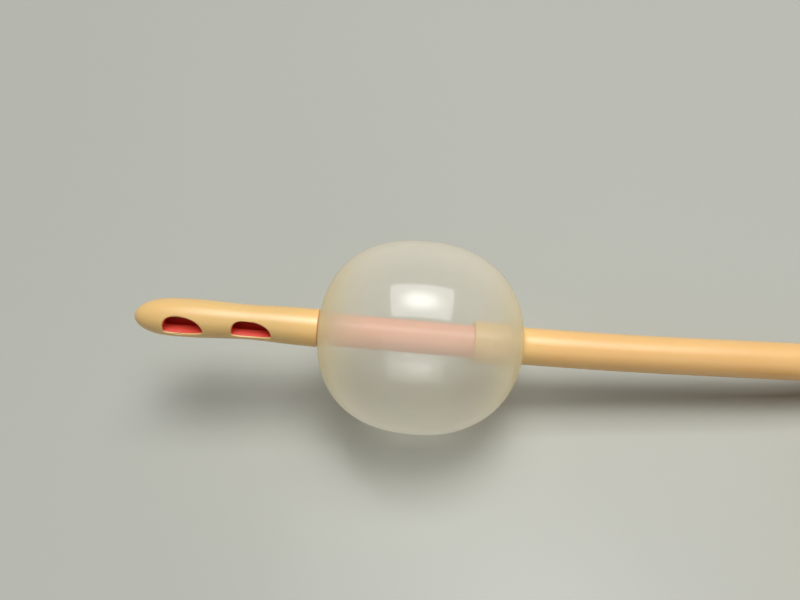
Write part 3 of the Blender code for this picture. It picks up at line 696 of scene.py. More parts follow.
@dataclass(frozen=True)
class DippedLatex:
    """Natural latex, dipped and cured: soft gloss, faint cloudy streaks along the dip and a little
    light inside the skin, which warms the shaded side."""

    name: str
    tint: str
    deep_tint: str
    roughness: float = 0.38
    scatter: float = 0.22
    gloss: float = 0.32
    gloss_roughness: float = 0.26
    scatter_mm: float = 1.1
    cloud_mm: float = 2.6
    ripple_mm: float = 0.9
    streak: float = 4.0

    def make(self) -> Material:
        """Make the material: cloudy tint, slightly uneven gloss and a fine ripple.

        Returns:
            The material.
        """
        material, tree = empty_material(self.name)
        place = straight_coordinates(tree, self.streak)
        cloud, tint = clouded(
            tree, place, self.cloud_mm, (self.tint, self.deep_tint), 3.0, 0.55,
        )
        uneven = add_node(
            tree, "MapRange",
            values={"To Min": self.roughness - 0.05, "To Max": self.roughness + 0.06},
            links={"Value": cloud},
        )
        shader = add_node(
            tree, "BsdfPrincipled",
            values={
                "Subsurface Weight": self.scatter, "Subsurface Radius": (1.0, 0.45, 0.2),
                "Subsurface Scale": self.scatter_mm * MM, "Coat Weight": self.gloss,
                "Coat Roughness": self.gloss_roughness, "IOR": 1.5,
            },
            links={
                "Base Color": tint, "Roughness": uneven,
                "Normal": relief(tree, place, self.ripple_mm, 0.35, 0.03),
            },
        )
        add_node(tree, "OutputMaterial", links={"Surface": shader})
        return material


@dataclass(frozen=True)
class BalloonFilm:
    """Stretched latex film, dipped and then blown up: thin, milky and see-through at the waist, and
    thicker, denser and yellower towards the poles, where it is stretched least. It is glossy."""

    name: str
    milk: str = "F7F6EC"
    pole_milk: str = "F6EBBE"
    milkiness: float = 0.36
    pole_gain: float = 0.5
    thrown_back: float = 0.22
    let_through: float = 0.78
    gloss: float = 0.045
    edge_gloss: float = 0.5
    roughness: float = 0.08
    cloud_mm: float = 9.0
    middle: float = 40.4 * MM
    half_length: float = 14.5 * MM

    def make(self) -> Material:
        """Make the material: a milky veil on a clear pane, under a mirror that grows at the rim.

        c is the cosine of the angle at which the film is seen, at least 0.05, and towards the
        poles p = |share of the half length|^4. The pane passes exp(-milkiness (1 + gain p) / c)
        of the light, and the veil scatters the rest, some of it back and most of it through.
        The mirror's share is gloss + (edge gloss - gloss) (1 - c)^5.

        Returns:
            The material.
        """
        material, tree = empty_material(self.name)
        facing = add_node(tree, "LayerWeight", values={"Blend": 0.5}).outputs["Facing"]
        cosine = add_node(
            tree, "Math", {"operation": "SUBTRACT", "use_clamp": True}, {0: 1.0}, {1: facing},
        )
        cosine = add_node(tree, "Math", {"operation": "MAXIMUM"}, {1: 0.05}, {0: cosine})
        place = add_node(tree, "Attribute", {"attribute_name": "straight"}).outputs["Vector"]
        along = add_node(tree, "SeparateXYZ", links={"Vector": place})
        share = add_node(
            tree, "MapRange", {"clamp": False},
            {"From Min": self.middle, "From Max": self.middle + self.half_length},
            {"Value": along},
        )
        away = add_node(tree, "Math", {"operation": "ABSOLUTE"}, links={0: share})
        pole = add_node(
            tree, "Math", {"operation": "POWER", "use_clamp": True}, {1: 4.0}, {0: away},
        )
        cloud = add_node(
            tree, "TexNoise", values={"Scale": per_mm(self.cloud_mm), "Detail": 3.0},
            links={"Vector": place},
        )
        milk = add_node(
            tree, "MapRange",
            values={"To Min": -0.92 * self.milkiness, "To Max": -1.08 * self.milkiness},
            links={"Value": cloud},
        )
        gain = add_node(
            tree, "MapRange", values={"To Min": 1.0, "To Max": 1.0 + self.pole_gain},
            links={"Value": pole},
        )
        dense = add_node(tree, "Math", {"operation": "MULTIPLY"}, links={0: milk, 1: gain})
        depth = add_node(tree, "Math", {"operation": "DIVIDE"}, links={0: dense, 1: cosine})
        passed = add_node(tree, "Math", {"operation": "EXPONENT"}, links={0: depth})
        back, forth = (
            add_node(
                tree, "Mix", {"data_type": "RGBA"},
                {6: linear(self.milk, part), 7: linear(self.pole_milk, part)}, {0: pole},
            ).outputs[2]
            for part in (self.thrown_back, self.let_through)
        )
        lit = add_node(tree, "BsdfDiffuse", links={"Color": back})
        through = add_node(tree, "BsdfTranslucent", links={"Color": forth})
        veil = add_node(tree, "AddShader", links={0: lit, 1: through})
        clear = add_node(tree, "BsdfTransparent")
        film = add_node(tree, "MixShader", links={0: passed, 1: veil, 2: clear})
        mirror = add_node(tree, "BsdfGlossy", values={"Roughness": self.roughness})
        grazing = add_node(tree, "Math", {"operation": "POWER"}, {1: 5.0}, {0: facing})
        mirrored = add_node(
            tree, "MapRange", values={"To Min": self.gloss, "To Max": self.edge_gloss},
            links={"Value": grazing},
        )
        surface = add_node(tree, "MixShader", links={0: mirrored, 1: film, 2: mirror})
        add_node(tree, "OutputMaterial", links={"Surface": surface})
        return material


@dataclass(frozen=True)
class MouldedPlastic:
    """Injection-moulded plastic: even colour, a fine spark-eroded grain and a satin gloss."""

    name: str
    tint: str
    shade: str
    roughness: float = 0.32
    scatter: float = 0.1
    scatter_mm: float = 0.5
    flow_mm: float = 3.0
    # The real grain is about 0.02 mm and is drawn coarser so that it shows.
    grain_mm: float = 0.25

    def make(self) -> Material:
        """Make the material.

        Returns:
            The material.
        """
        material, tree = empty_material(self.name)
        place = add_node(tree, "TexCoord").outputs["Object"]
        _, tint = clouded(tree, place, self.flow_mm, (self.tint, self.shade), 2.0)
        shader = add_node(
            tree, "BsdfPrincipled",
            values={
                "Roughness": self.roughness, "IOR": 1.49, "Subsurface Weight": self.scatter,
                "Subsurface Scale": self.scatter_mm * MM,
            },
            links={"Base Color": tint, "Normal": relief(tree, place, self.grain_mm, 0.3, 0.01)},
        )
        add_node(tree, "OutputMaterial", links={"Surface": shader})
        return material


@dataclass(frozen=True)
class SpringSteel:
    """Drawn stainless wire: bright metal with fine draw lines along it."""

    name: str
    tint: str
    roughness: float = 0.25
    line_mm: float = 0.06
    streak: float = 20.0

    def make(self) -> Material:
        """Make the material, whose gloss is uneven along the draw lines.

        Returns:
            The material.
        """
        material, tree = empty_material(self.name)
        lines = add_node(
            tree, "TexNoise", values={"Scale": per_mm(self.line_mm), "Detail": 2.0},
            links={"Vector": straight_coordinates(tree, self.streak)},
        )
        uneven = add_node(
            tree, "MapRange",
            values={"To Min": self.roughness - 0.08, "To Max": self.roughness + 0.1},
            links={"Value": lines},
        )
        shader = add_node(
            tree, "BsdfPrincipled", values={"Base Color": linear(self.tint), "Metallic": 1.0},
            links={"Roughness": uneven},
        )
        add_node(tree, "OutputMaterial", links={"Surface": shader})
        return material


@dataclass(frozen=True)
class TableTop:
    """Lacquered pale table top: even grey with a soft gloss that mirrors the object faintly."""

    name: str
    tint: str
    shade: str
    roughness: float = 0.2
    # Lower than a lacquer's 1.5, because the photographed table mirrors little.
    ior: float = 1.22
    tone_mm: float = 160.0

    def make(self) -> Material:
        """Make the material.

        Returns:
            The material.
        """
        material, tree = empty_material(self.name)
        place = add_node(tree, "TexCoord").outputs["Object"]
        _, tint = clouded(tree, place, self.tone_mm, (self.tint, self.shade), 1.0)
        shader = add_node(
            tree, "BsdfPrincipled", values={"Roughness": self.roughness, "IOR": self.ior},
            links={"Base Color": tint},
        )
        add_node(tree, "OutputMaterial", links={"Surface": shader})
        return material


@dataclass(frozen=True)
class Finishes:
    """Every material of the catheter, made once."""

    core: Material = field(
        default_factory=DippedLatex("core_latex_red", "F2503C", "E84632", 0.42, 0.25, 0.1).make)
    skin: Material = field(
        default_factory=DippedLatex("core_latex_skin", "F3B294", "EBA688", 0.4, 0.2, 0.15).make)
    coat: Material = field(
        default_factory=DippedLatex("coat_latex_amber", "F8C983", "F0BB73").make)
    funnel: Material = field(default_factory=DippedLatex(
        "funnel_latex_amber", "E9B673", "DDA662", 0.42, 0.22, 0.15).make)
    film: Material = field(default_factory=BalloonFilm("balloon_film_outside").make)
    lining: Material = field(default_factory=BalloonFilm(
        "balloon_film_inside", milkiness=0.10, gloss=0.02, edge_gloss=0.1, roughness=0.24).make)
    orange: Material = field(
        default_factory=MouldedPlastic("polypropylene_orange", "E8742A", "E06C22").make)
    white: Material = field(
        default_factory=MouldedPlastic("polypropylene_white", "ECECE6", "E4E4DC").make)
    blue: Material = field(
        default_factory=MouldedPlastic("acetal_blue_grey", "93A8BE", "8BA0B6", 0.4).make)
    black: Material = field(
        default_factory=MouldedPlastic("nitrile_black", "2A2A2A", "242424", 0.6).make)
    steel: Material = field(default_factory=SpringSteel("spring_steel", "C4C4C0").make)


# --------------------------------------------------------------------------- sub-assemblies


@dataclass
class Shaft:
    """Core, tip coat and hose: everything that is turned about the laid line.

    Distances start at the tip. Angles are in degrees, from the left over the top. tip_mm holds
    (distance, radius) rows from the nose's end to the balloon.
    """

    line: LaidLine
    finishes: Finishes
    core_radius: float = 2.35 * MM
    core_radius_at_sleeve: float = 2.28 * MM
    core_past_balloon: float = 2.0 * MM
    drain_radius: float = 1.35 * MM
    drain_offset: float = 0.30 * MM
    drain_start: float = 3.1 * MM
    drain_turn: float = 70.0
    side_port: float = 5.0 * MM
    radius: float = 2.665 * MM
    tip_mm: tuple[tuple[float, float], ...] = (
        (5.4, 2.666), (7.2, 2.72), (12.1, 2.595), (17.0, 2.47), (19.93, 2.58), (25.9, 2.69),
    )
    tip_wall: float = 0.20 * MM
    bulb_radius: float = 2.72 * MM
    nose_length: float = 5.4 * MM
    tip_to_balloon: float = 25.9 * MM
    tip_sleeve: float = 6.0 * MM
    tip_step: float = 0.5 * MM
    balloon_length: float = 29.0 * MM
    balloon_wall: float = 0.30 * MM
    sleeve_wall: float = 0.15 * MM
    cuff_radius: float = 2.92 * MM
    cuff_length: float = 6.6 * MM
    cuff_fade: float = 1.6 * MM
    cuff_round: float = 0.12 * MM
    neck_at: float = 350.0 * MM
    socket_depth: float = 9.0 * MM
    eye_length: float = 5.5 * MM
    eye_peak: float = -0.32
    eye_taper: float = 2.2
    eye_bluntness: float = 2.7
    eye_lip: float = 0.18 * MM
    eye_rise: float = 48.0
    eye_fall: float = 12.0
    eye_centres: tuple[float, float] = (7.4 * MM, 16.85 * MM)
    eye_angle: float = 172.0
    port_bore: float = 0.9 * MM
    port_angle: float = 250.0

    @property
    def middle(self) -> float:
        """The distance of the balloon's middle."""
        return self.tip_to_balloon + self.balloon_length / 2

    @property
    def rear(self) -> float:
        """The distance of the balloon's rear pole."""
        return self.tip_to_balloon + self.balloon_length

    @property
    def cuff_at(self) -> float:
        """The distance at which the cuff starts inside the balloon."""
        return self.rear - self.cuff_length - self.balloon_wall

    @property
    def end(self) -> float:
        """The distance of the hose's end in the funnel's socket."""
        return self.neck_at + self.socket_depth

    def tip_radius(self, s: Array) -> Array:
        """Work out the coated tip's radius: half an ellipse, then a spline over bulb and waist.

        Args:
            s: Distances from the tip.

        Returns:
            One radius for each distance.
        """
        at, radius = MM * np.array(self.tip_mm).T
        along = natural_spline(at, radius[:, None], np.maximum(s, at[0]))[:, 0]
        ellipse = np.sqrt(np.clip(1.0 - (1.0 - s / self.nose_length) ** 2, 0.0, 1.0))
        return np.where(s < self.nose_length, radius[0] * ellipse, along)

    def tip_profile(self, end: float, inset: float, step: float) -> Array:
        """Draw the tip's outline from the nose, whose points are equal turns of its ellipse.

        Args:
            end: Distance at which the outline ends.
            inset: How far it is moved inwards at the bulb.
            step: Distance between points past the nose.

        Returns:
            (distance, radius) rows.
        """
        turn = np.linspace(0.0, math.pi / 2, 28)
        nose = self.nose_length * (1.0 - np.cos(turn))
        along = np.arange(self.nose_length + step, end, step)
        s = np.concatenate((nose, along, [end]))
        radius = self.tip_radius(s) * (1.0 - inset / self.bulb_radius)
        inward = inset * np.clip(1.0 - s / self.nose_length, 0.0, 1.0)
        return np.stack((s + inward, radius), axis=-1)

    def eye(self, centre: float) -> Surface:
        """Make the die that cuts one drainage eye, with walls that run to the shaft's axis.

        Around, x = l/2 cos t, and the angle from the eye's base line is g times the rise on the
        upper side and times the fall on the lower one. g = (1 - v^n)^(1/n), where v is the share
        of the way from the peak to the eye's end, and n is the taper towards the balloon and the
        bluntness towards the tip. Near the skin the outline grows by the quarter circle of a
        soft lip.

        Args:
            centre: The eye's distance from the tip.

        Returns:
            The closed die.
        """
        over, deep, bottom = -0.9 * MM, 1.0 * MM, 1.7 * MM
        t = np.arange(96) * math.tau / 96
        lip = self.eye_lip * (1.0 - np.cos(np.linspace(0.0, math.pi / 2, 7)))
        depth = np.concatenate(([over, over], lip, [deep, bottom, bottom]))
        under = np.clip(1.0 - depth / self.eye_lip, 0.0, 1.0)
        grow = (self.eye_lip * (1.0 - np.sqrt(1.0 - under**2)))[:, None]
        ahead = np.cos(t) - self.eye_peak
        share = np.abs(ahead) / (1.0 + np.where(ahead > 0, -self.eye_peak, self.eye_peak))
        power = np.where(ahead > 0, self.eye_taper, self.eye_bluntness)
        g = np.clip(1.0 - share**power, 0.0, 1.0) ** (1.0 / power)
        reach = np.radians(np.where(t < math.pi, self.eye_fall, -self.eye_rise)) * g
        angle = math.radians(self.eye_angle) + reach
        angle = angle + grow / self.radius * np.sin(t)
        along = centre + (self.eye_length / 2 + grow) * np.cos(t)
        radius = self.tip_radius(along) - depth[:, None]
        left, up = radius * np.cos(angle), radius * np.sin(angle)
        ends = [0, -1]
        along[ends] = centre
        left[ends] = left[ends].mean(axis=1, keepdims=True)
        up[ends] = up[ends].mean(axis=1, keepdims=True)
        frames = self.line.frames(np.array([centre]))
        grid = frames.point[0] + (along - centre)[..., None] * frames.forward[0]
        grid = grid + left[..., None] * frames.left[0] + up[..., None] * frames.up[0]
        return grid_surface(grid, grid)

    def drain_shift(self, s: Array) -> Array:
        """Work out the drainage lumen's offset, which is away from the inflation lumen.

        The inflation lumen turns evenly by drain_turn on its way to the side port in the neck.

        Args:
            s: Distances from the tip.

        Returns:
            (left, up) rows.
        """
        share = (s - self.middle) / (self.neck_at + self.side_port - self.middle)
        turn = np.radians(self.port_angle - self.drain_turn * share)
        return -self.drain_offset * np.stack((np.cos(turn), np.sin(turn)), axis=-1)

    def port(self) -> Surface:
        """Make the punch of the round port through which the inflation lumen fills the balloon.

        Returns:
            The closed punch.
        """
        inner, outer, radius = 1.7 * MM, 3.0 * MM, self.port_bore / 2
        frames = self.line.frames(np.array([self.middle]))
        turn = math.radians(self.port_angle)
        outward = math.cos(turn) * frames.left[0] + math.sin(turn) * frames.up[0]
        across = frames.forward[0]
        pin = StraightLine(frames.point[0], outward, across, np.cross(outward, across))
        profile = np.array(((inner, 0.0), (inner, radius), (outer, radius), (outer, 0.0)))
        return turned(pin, profile, 32)

    def build_core(self) -> Object:
        """Make the core's end: from the closed tip, through the balloon, into the hose.

        Returns:
            The finished piece.
        """
        end, step = self.rear + self.core_past_balloon, 0.5 * MM
        sleeve = self.tip_to_balloon - self.tip_sleeve
        tip = self.tip_profile(sleeve - self.tip_step, self.tip_wall + FIT, 0.4 * MM)
        body = resampled(np.array((
            (sleeve, self.core_radius_at_sleeve), (self.tip_to_balloon, self.core_radius_at_sleeve),
            (self.tip_to_balloon + 0.8 * MM, self.core_radius), (end, self.core_radius),
        )), step)
        turn = np.linspace(0.0, math.pi / 2, 10)[:-1]
        blind = np.stack((
            self.drain_start + self.drain_radius * (1.0 - np.sin(turn)),
            self.drain_radius * np.cos(turn),
        ), axis=-1)
        lumen = resampled(np.array((
            (end, self.drain_radius), (blind[0, 0] + 0.3 * MM, self.drain_radius),
        )), step)
        closed = np.array(((self.drain_start, 0.0),))
        profile = np.concatenate((tip, body, lumen, blind, closed))
        outside = len(tip) + len(body)
        shift = self.drain_shift(profile[:, 0])
        shift[:outside] = 0.0
        slots = np.where(np.arange(len(profile) - 1) < outside, 1, 0)
        surface = turned(self.line, profile, 96, Ends.OPEN, slots, shift)
        obj = add_object("latex_core", surface, self.finishes.core, self.finishes.skin)
        for tool in (*map(self.eye, self.eye_centres), self.port()):
            cut(obj, tool, Cut.DIFFERENCE, self.finishes.core)
        set_straight(obj.data, self.line.straighten(points_of(obj.data), end + MM))
        return finish_piece(obj, Body.CATHETER, ("inner_tube",))

    def build_tip_coat(self) -> Object:
        """Make the coat of the tip: a cup over the core, open towards the balloon.

        Returns:
            The finished piece.
        """
        end = self.tip_to_balloon
        sleeve = end - self.tip_sleeve
        over_sleeve = self.core_radius_at_sleeve + self.sleeve_wall + 2 * FIT
        outer = self.tip_profile(end - FIT, 0.0, 0.25 * MM)
        outer = outer[outer[:, 0] < end - 0.2 * MM]
        rim = np.array(((end - 0.06 * MM, 2.69 * MM), (end - FIT, 2.64 * MM)))
        inner = self.tip_profile(sleeve - self.tip_step, self.tip_wall, 0.4 * MM)
        inside = np.concatenate((inner, ((sleeve, over_sleeve), (end - FIT, over_sleeve))))
        surface = turned(self.line, np.concatenate((outer, rim, inside[::-1])), 128)
        obj = add_object("tip_coat_skin", surface, self.finishes.coat)
        for centre in self.eye_centres:
            cut(obj, self.eye(centre), Cut.DIFFERENCE)
        set_straight(obj.data, self.line.straighten(points_of(obj.data), 28.0 * MM))
        return finish_piece(obj, Body.CATHETER, ("tip_coat",))

    def build_hose(self) -> Object:
        """Make the hose: coated wall with its cuff inside the balloon and the lumen through it.

        Behind the balloon the cuff fades to the shaft's radius by the ease 3 f^2 - 2 f^3.

        Returns:
            The finished piece.
        """
        rear, cuff, end = self.rear, self.cuff_at, self.end
        core_end = rear + self.core_past_balloon + 0.1 * MM
        core_bore = self.core_radius + FIT
        fade = np.linspace(0.0, 1.0, 9)
        ease = fade * fade * (3.0 - 2.0 * fade)
        shoulder = np.stack((
            rear + self.cuff_fade * (fade - 0.75),
            self.cuff_radius + (self.radius - self.cuff_radius) * ease,
        ), axis=-1)
        bore = self.core_radius + self.sleeve_wall + 3 * FIT
        rim = rounded(np.array((
            (cuff, bore), (cuff, self.cuff_radius), (cuff + 2 * MM, self.cuff_radius),
        )), self.cuff_round)
        outer = resampled(np.concatenate((rim, shoulder, ((end, self.radius),))), 1.1 * MM)
        inner = resampled(np.array((
            (end, self.drain_radius), (core_end, self.drain_radius), (core_end, core_bore),
            (rear + FIT, core_bore), (rear + FIT, bore),
        )), 1.6 * MM)
        profile = np.concatenate((outer, inner))
        slots = np.where(np.arange(len(profile)) < len(outer) - 1, 0, 1)
        shift = self.drain_shift(profile[:, 0])
        shift *= (profile[:, 1] < self.drain_radius + FIT)[:, None]
        surface = turned(self.line, profile, 64, Ends.RING, slots, shift)
        obj = add_object("latex_hose", surface, self.finishes.coat, self.finishes.core)
        return finish_piece(obj, Body.CATHETER, ("shaft_coat", "inner_tube"))

    def declare_cord(self) -> None:
        rear, end = self.rear, self.end
        path = self.line.at(np.linspace(self.cuff_at, end, 240))
        tuple(self.line.at(np.array([rear]))[0])


@dataclass
class Balloon:
    """The retention balloon: one film with two bonded sleeves and a fold over the hose's cuff.

    The root is how far the inflated wall stands off its sleeve where the two meet.
    """

    shaft: Shaft
    diameter: float = 27.3 * MM
    squareness_tip: float = 2.35
    squareness_rear: float = 2.20
    wall_at_waist: float = 0.35 * MM
    wall_at_pole: float = 0.90 * MM
    root: float = 0.1 * MM
    fold_wall: float = 0.06 * MM

    def half(self, length: float, radius: float, power: float, rim: float) -> Array:
        """Draw half an outline: (length sin^(2/n) t, radius cos^(2/n) t).

        Args:
            length: From the waist to the pole.
            radius: At the waist.
            power: n, which is 2 for an ellipse and more for a squarer form.
            rim: Radius at which the outline stops.

        Returns:
            (distance from the waist, radius) rows.
        """
        end = math.acos((rim / radius) ** (power / 2))
        turn = end * np.linspace(0.0, 1.0, 72)
        return np.stack((
            length * np.sin(turn) ** (2 / power), radius * np.cos(turn) ** (2 / power),
        ), axis=-1)

    def outline(self, thin: float, thick: float, tip_rim: float, rear_rim: float) -> Array:
        """Draw the inflated wall from the tip's pole to the rear one.

        Args:
            thin: Inset at the widest point.
            thick: Inset at the poles.
            tip_rim: Radius at which the wall meets the tip.
            rear_rim: Radius at which it meets the hose.

        Returns:
            (distance, radius) rows.
        """
        middle = self.shaft.middle
        length, radius = self.shaft.balloon_length / 2 - thick, self.diameter / 2 - thin
        tip = self.half(length, radius, self.squareness_tip, tip_rim)[:0:-1]
        rear = self.half(length, radius, self.squareness_rear, rear_rim)
        return np.concatenate((
            np.stack((middle - tip[:, 0], tip[:, 1]), axis=-1),
            np.stack((middle + rear[:, 0], rear[:, 1]), axis=-1),
        ))

    def build(self) -> Object:
        """Make the film as one closed body: outside forward, fold and sleeves, inside back.

        Returns:
            The finished piece.
        """
        shaft = self.shaft
        tip, rear = shaft.tip_to_balloon, shaft.rear
        start = tip - shaft.tip_sleeve + FIT
        fold_at = shaft.cuff_at - FIT
        face_at = fold_at - self.fold_wall
        tip_r = shaft.core_radius_at_sleeve + FIT
        rear_r = shaft.core_radius + FIT
        fold_r = shaft.cuff_radius + FIT
        over_tip, over_rear = tip_r + shaft.sleeve_wall, rear_r + shaft.sleeve_wall
        over_fold = fold_r + self.fold_wall
        outer = self.outline(0.0, 0.0, over_tip + self.root, fold_r)
        inner = self.outline(self.wall_at_waist, self.wall_at_pole, tip_r + self.root, over_fold)
        sleeve = ((start, tip_r), (start, over_tip), (tip, over_tip))
        fold = (
            (fold_at, fold_r), (fold_at, over_rear), (rear, over_rear), (rear, rear_r),
            (face_at, rear_r), (face_at, over_fold),
        )
        profile = np.concatenate((
            sleeve, outer, fold, inner[::-1], ((tip + self.wall_at_pole, tip_r),),
        ))
        outside = len(sleeve) + len(outer)
        slots = np.where(np.arange(len(profile)) < outside, 0, 1)
        # The fold lies so close on the cuff that its last two strips show the coat's amber.
        face = outside + len(fold) - 2
        slots[face:face + 2] = 2
        surface = turned(shaft.line, profile, 128, Ends.RING, slots)
        finishes = shaft.finishes
        obj = add_object("balloon_film", surface, finishes.film, finishes.lining, finishes.coat)
        return finish_piece(obj, Body.CATHETER, ("balloon",), 60.0)


@dataclass
class Funnel:
    """The moulded Y at the hose's end: drainage funnel, inflation arm and the web between them.

    Its profiles are written in mm and turned to metres as they are returned.
    """

    shaft: Shaft
    length: float = 50.0 * MM
    arm_root: float = 11.0 * MM
    arm_angle: float = 31.0
    arm_length: float = 27.0 * MM
    collar_outer: float = 4.75 * MM
    collar_length: float = 7.0 * MM
    web_thickness: float = 2.6 * MM
    web_gap: float = 0.5 * MM
    web_hollow: float = 0.22
    voxel: float = 0.26 * MM

    def __post_init__(self) -> None:
        """Work out the lines of the funnel, of the arm and of the valve in the arm's end."""
        at_neck = self.shaft.line.frames(np.array([self.shaft.neck_at]))
        neck, forward = at_neck.point[0], at_neck.forward[0]
        self.axis = StraightLine(neck, forward, at_neck.left[0], at_neck.up[0])
        root = neck + self.arm_root * forward
        heading = math.atan2(forward[1], forward[0]) - math.radians(self.arm_angle)
        drop = (self.collar_outer - (root[2] - LAY_ORIGIN[2])) / self.arm_length
        level = math.sqrt(1.0 - drop * drop)
        ahead = np.array((level * math.cos(heading), level * math.sin(heading), drop))
        left = np.array((-math.sin(heading), math.cos(heading), 0.0))
        up = np.cross(ahead, left)
        self.arm = StraightLine(root, ahead, left, up)
        self.valve = StraightLine(root + self.arm_length * ahead, ahead, left, up)

    def body_profile(self) -> Array:
        """Draw the funnel's outside, from the neck to the beaded mouth.

        Returns:
            (distance, radius) rows.
        """
        neck, swell, mouth, bead = 4.0, 4.6, 6.5, 7.0
        swell_at, bead_start, full = 11.0, 46.6, self.length / MM
        taper = bead_start - swell_at
        return MM * np.array((
            (0.0, 0.0), (0.0, neck - 0.4), (0.5, neck), (swell_at, swell),
            (swell_at + 0.35 * taper, swell + 0.35 * (mouth - swell)),
            (swell_at + 0.7 * taper, swell + 0.72 * (mouth - swell)), (bead_start - 1.2, mouth),
            (bead_start, bead - 0.1), (bead_start + 0.8, bead), (full - 1.0, bead),
            (full, bead - 0.7), (full, 0.0),
        ))

    def bore_profile(self) -> Array:
        """Draw the bore: the hose's socket, the throat and the tapered drainage mouth.

        Returns:
            (distance, radius) rows.
        """
        full, mouth, throat = self.length / MM, 4.95, 1.75
        socket, socket_end = self.shaft.radius / MM + 0.03, 9.06
        chamfer = mouth + 0.3
        return MM * np.array((
            (-1.0, 0.0), (-1.0, socket), (socket_end, socket), (socket_end, throat),
            (12.75, throat), (0.5 * full, 0.62 * mouth), (0.7 * full, 0.85 * mouth),
            (0.88 * full, 0.95 * mouth), (full - 0.3, mouth), (full + 0.1, chamfer),
            (full + 1.0, chamfer), (full + 1.0, 0.0),
        ))

    def arm_profile(self) -> Array:
        """Draw the inflation arm's outside, from the funnel's axis to its end face.

        Returns:
            (distance, radius) rows.
        """
        slim, stout, full = 3.1, 4.0, self.arm_length / MM
        shoulder = full - self.collar_length / MM
        return MM * np.array((
            (0.0, 0.0), (0.0, slim), (0.5 * shoulder, slim), (shoulder - 1.5, 3.72),
            (shoulder, stout), (full, stout), (full, 0.0),
        ))

    def seat_profile(self) -> Array:
        """Draw the stepped bore in the arm that holds the valve's stem and chamber.

        Returns:
            (distance, radius) rows.
        """
        start, step, end, stem, chamber = 14.87, 20.37, 28.0, 2.38, 3.03
        return MM * np.array((
            (start, 0.0), (start, stem), (step, stem), (step, chamber), (end, chamber), (end, 0.0),
        ))

    def web_outline(self) -> Array:
        """Draw the web in the Y's crotch. Its front edge is at reach (1 - hollow sin(pi share)).

        Returns:
            (along the arm, across it) rows.
        """
        turn = math.radians(self.arm_angle)
        corner = self.arm_length - self.collar_length - self.web_gap
        share = np.linspace(0.0, 1.0, 25)
        reach = corner * (1.0 - self.web_hollow * np.sin(math.pi * share))
        arc = np.stack((reach * np.cos(turn * share), reach * np.sin(turn * share)), axis=-1)
        return np.concatenate((((0.0, 0.0),), arc))

    def build(self) -> Object:
        """Make the moulding: the three solids are skinned as one, softened and then bored.

        Returns:
            The finished piece.
        """
        body = turned(self.axis, resampled(self.body_profile(), 0.5 * MM), 96)
        arm = turned(self.arm, resampled(self.arm_profile(), 0.5 * MM), 72)
        up = self.arm.up
        base = self.arm.origin - up * self.web_thickness / 2
        rise = StraightLine(base, up, self.arm.forward, self.arm.left)
        web = prism(rise, self.web_outline(), self.web_thickness)
        obj = add_object("funnel_moulding", body + arm + web, self.shaft.finishes.funnel)
        skin = obj.modifiers.new("skin", "REMESH")
        skin.mode, skin.voxel_size = "VOXEL", self.voxel
        soften = obj.modifiers.new("soften", "SMOOTH")
        soften.factor, soften.iterations = 0.5, 6
        bake_modifiers(obj)
        bore = turned(self.axis, resampled(self.bore_profile(), MM), 96)
        for tool in (bore, turned(self.arm, self.seat_profile(), 72)):
            cut(obj, tool, Cut.DIFFERENCE, self.shaft.finishes.funnel)
        set_straight(obj.data, points_of(obj.data))
        return finish_piece(obj, Body.CATHETER, ("funnel",), 50.0)


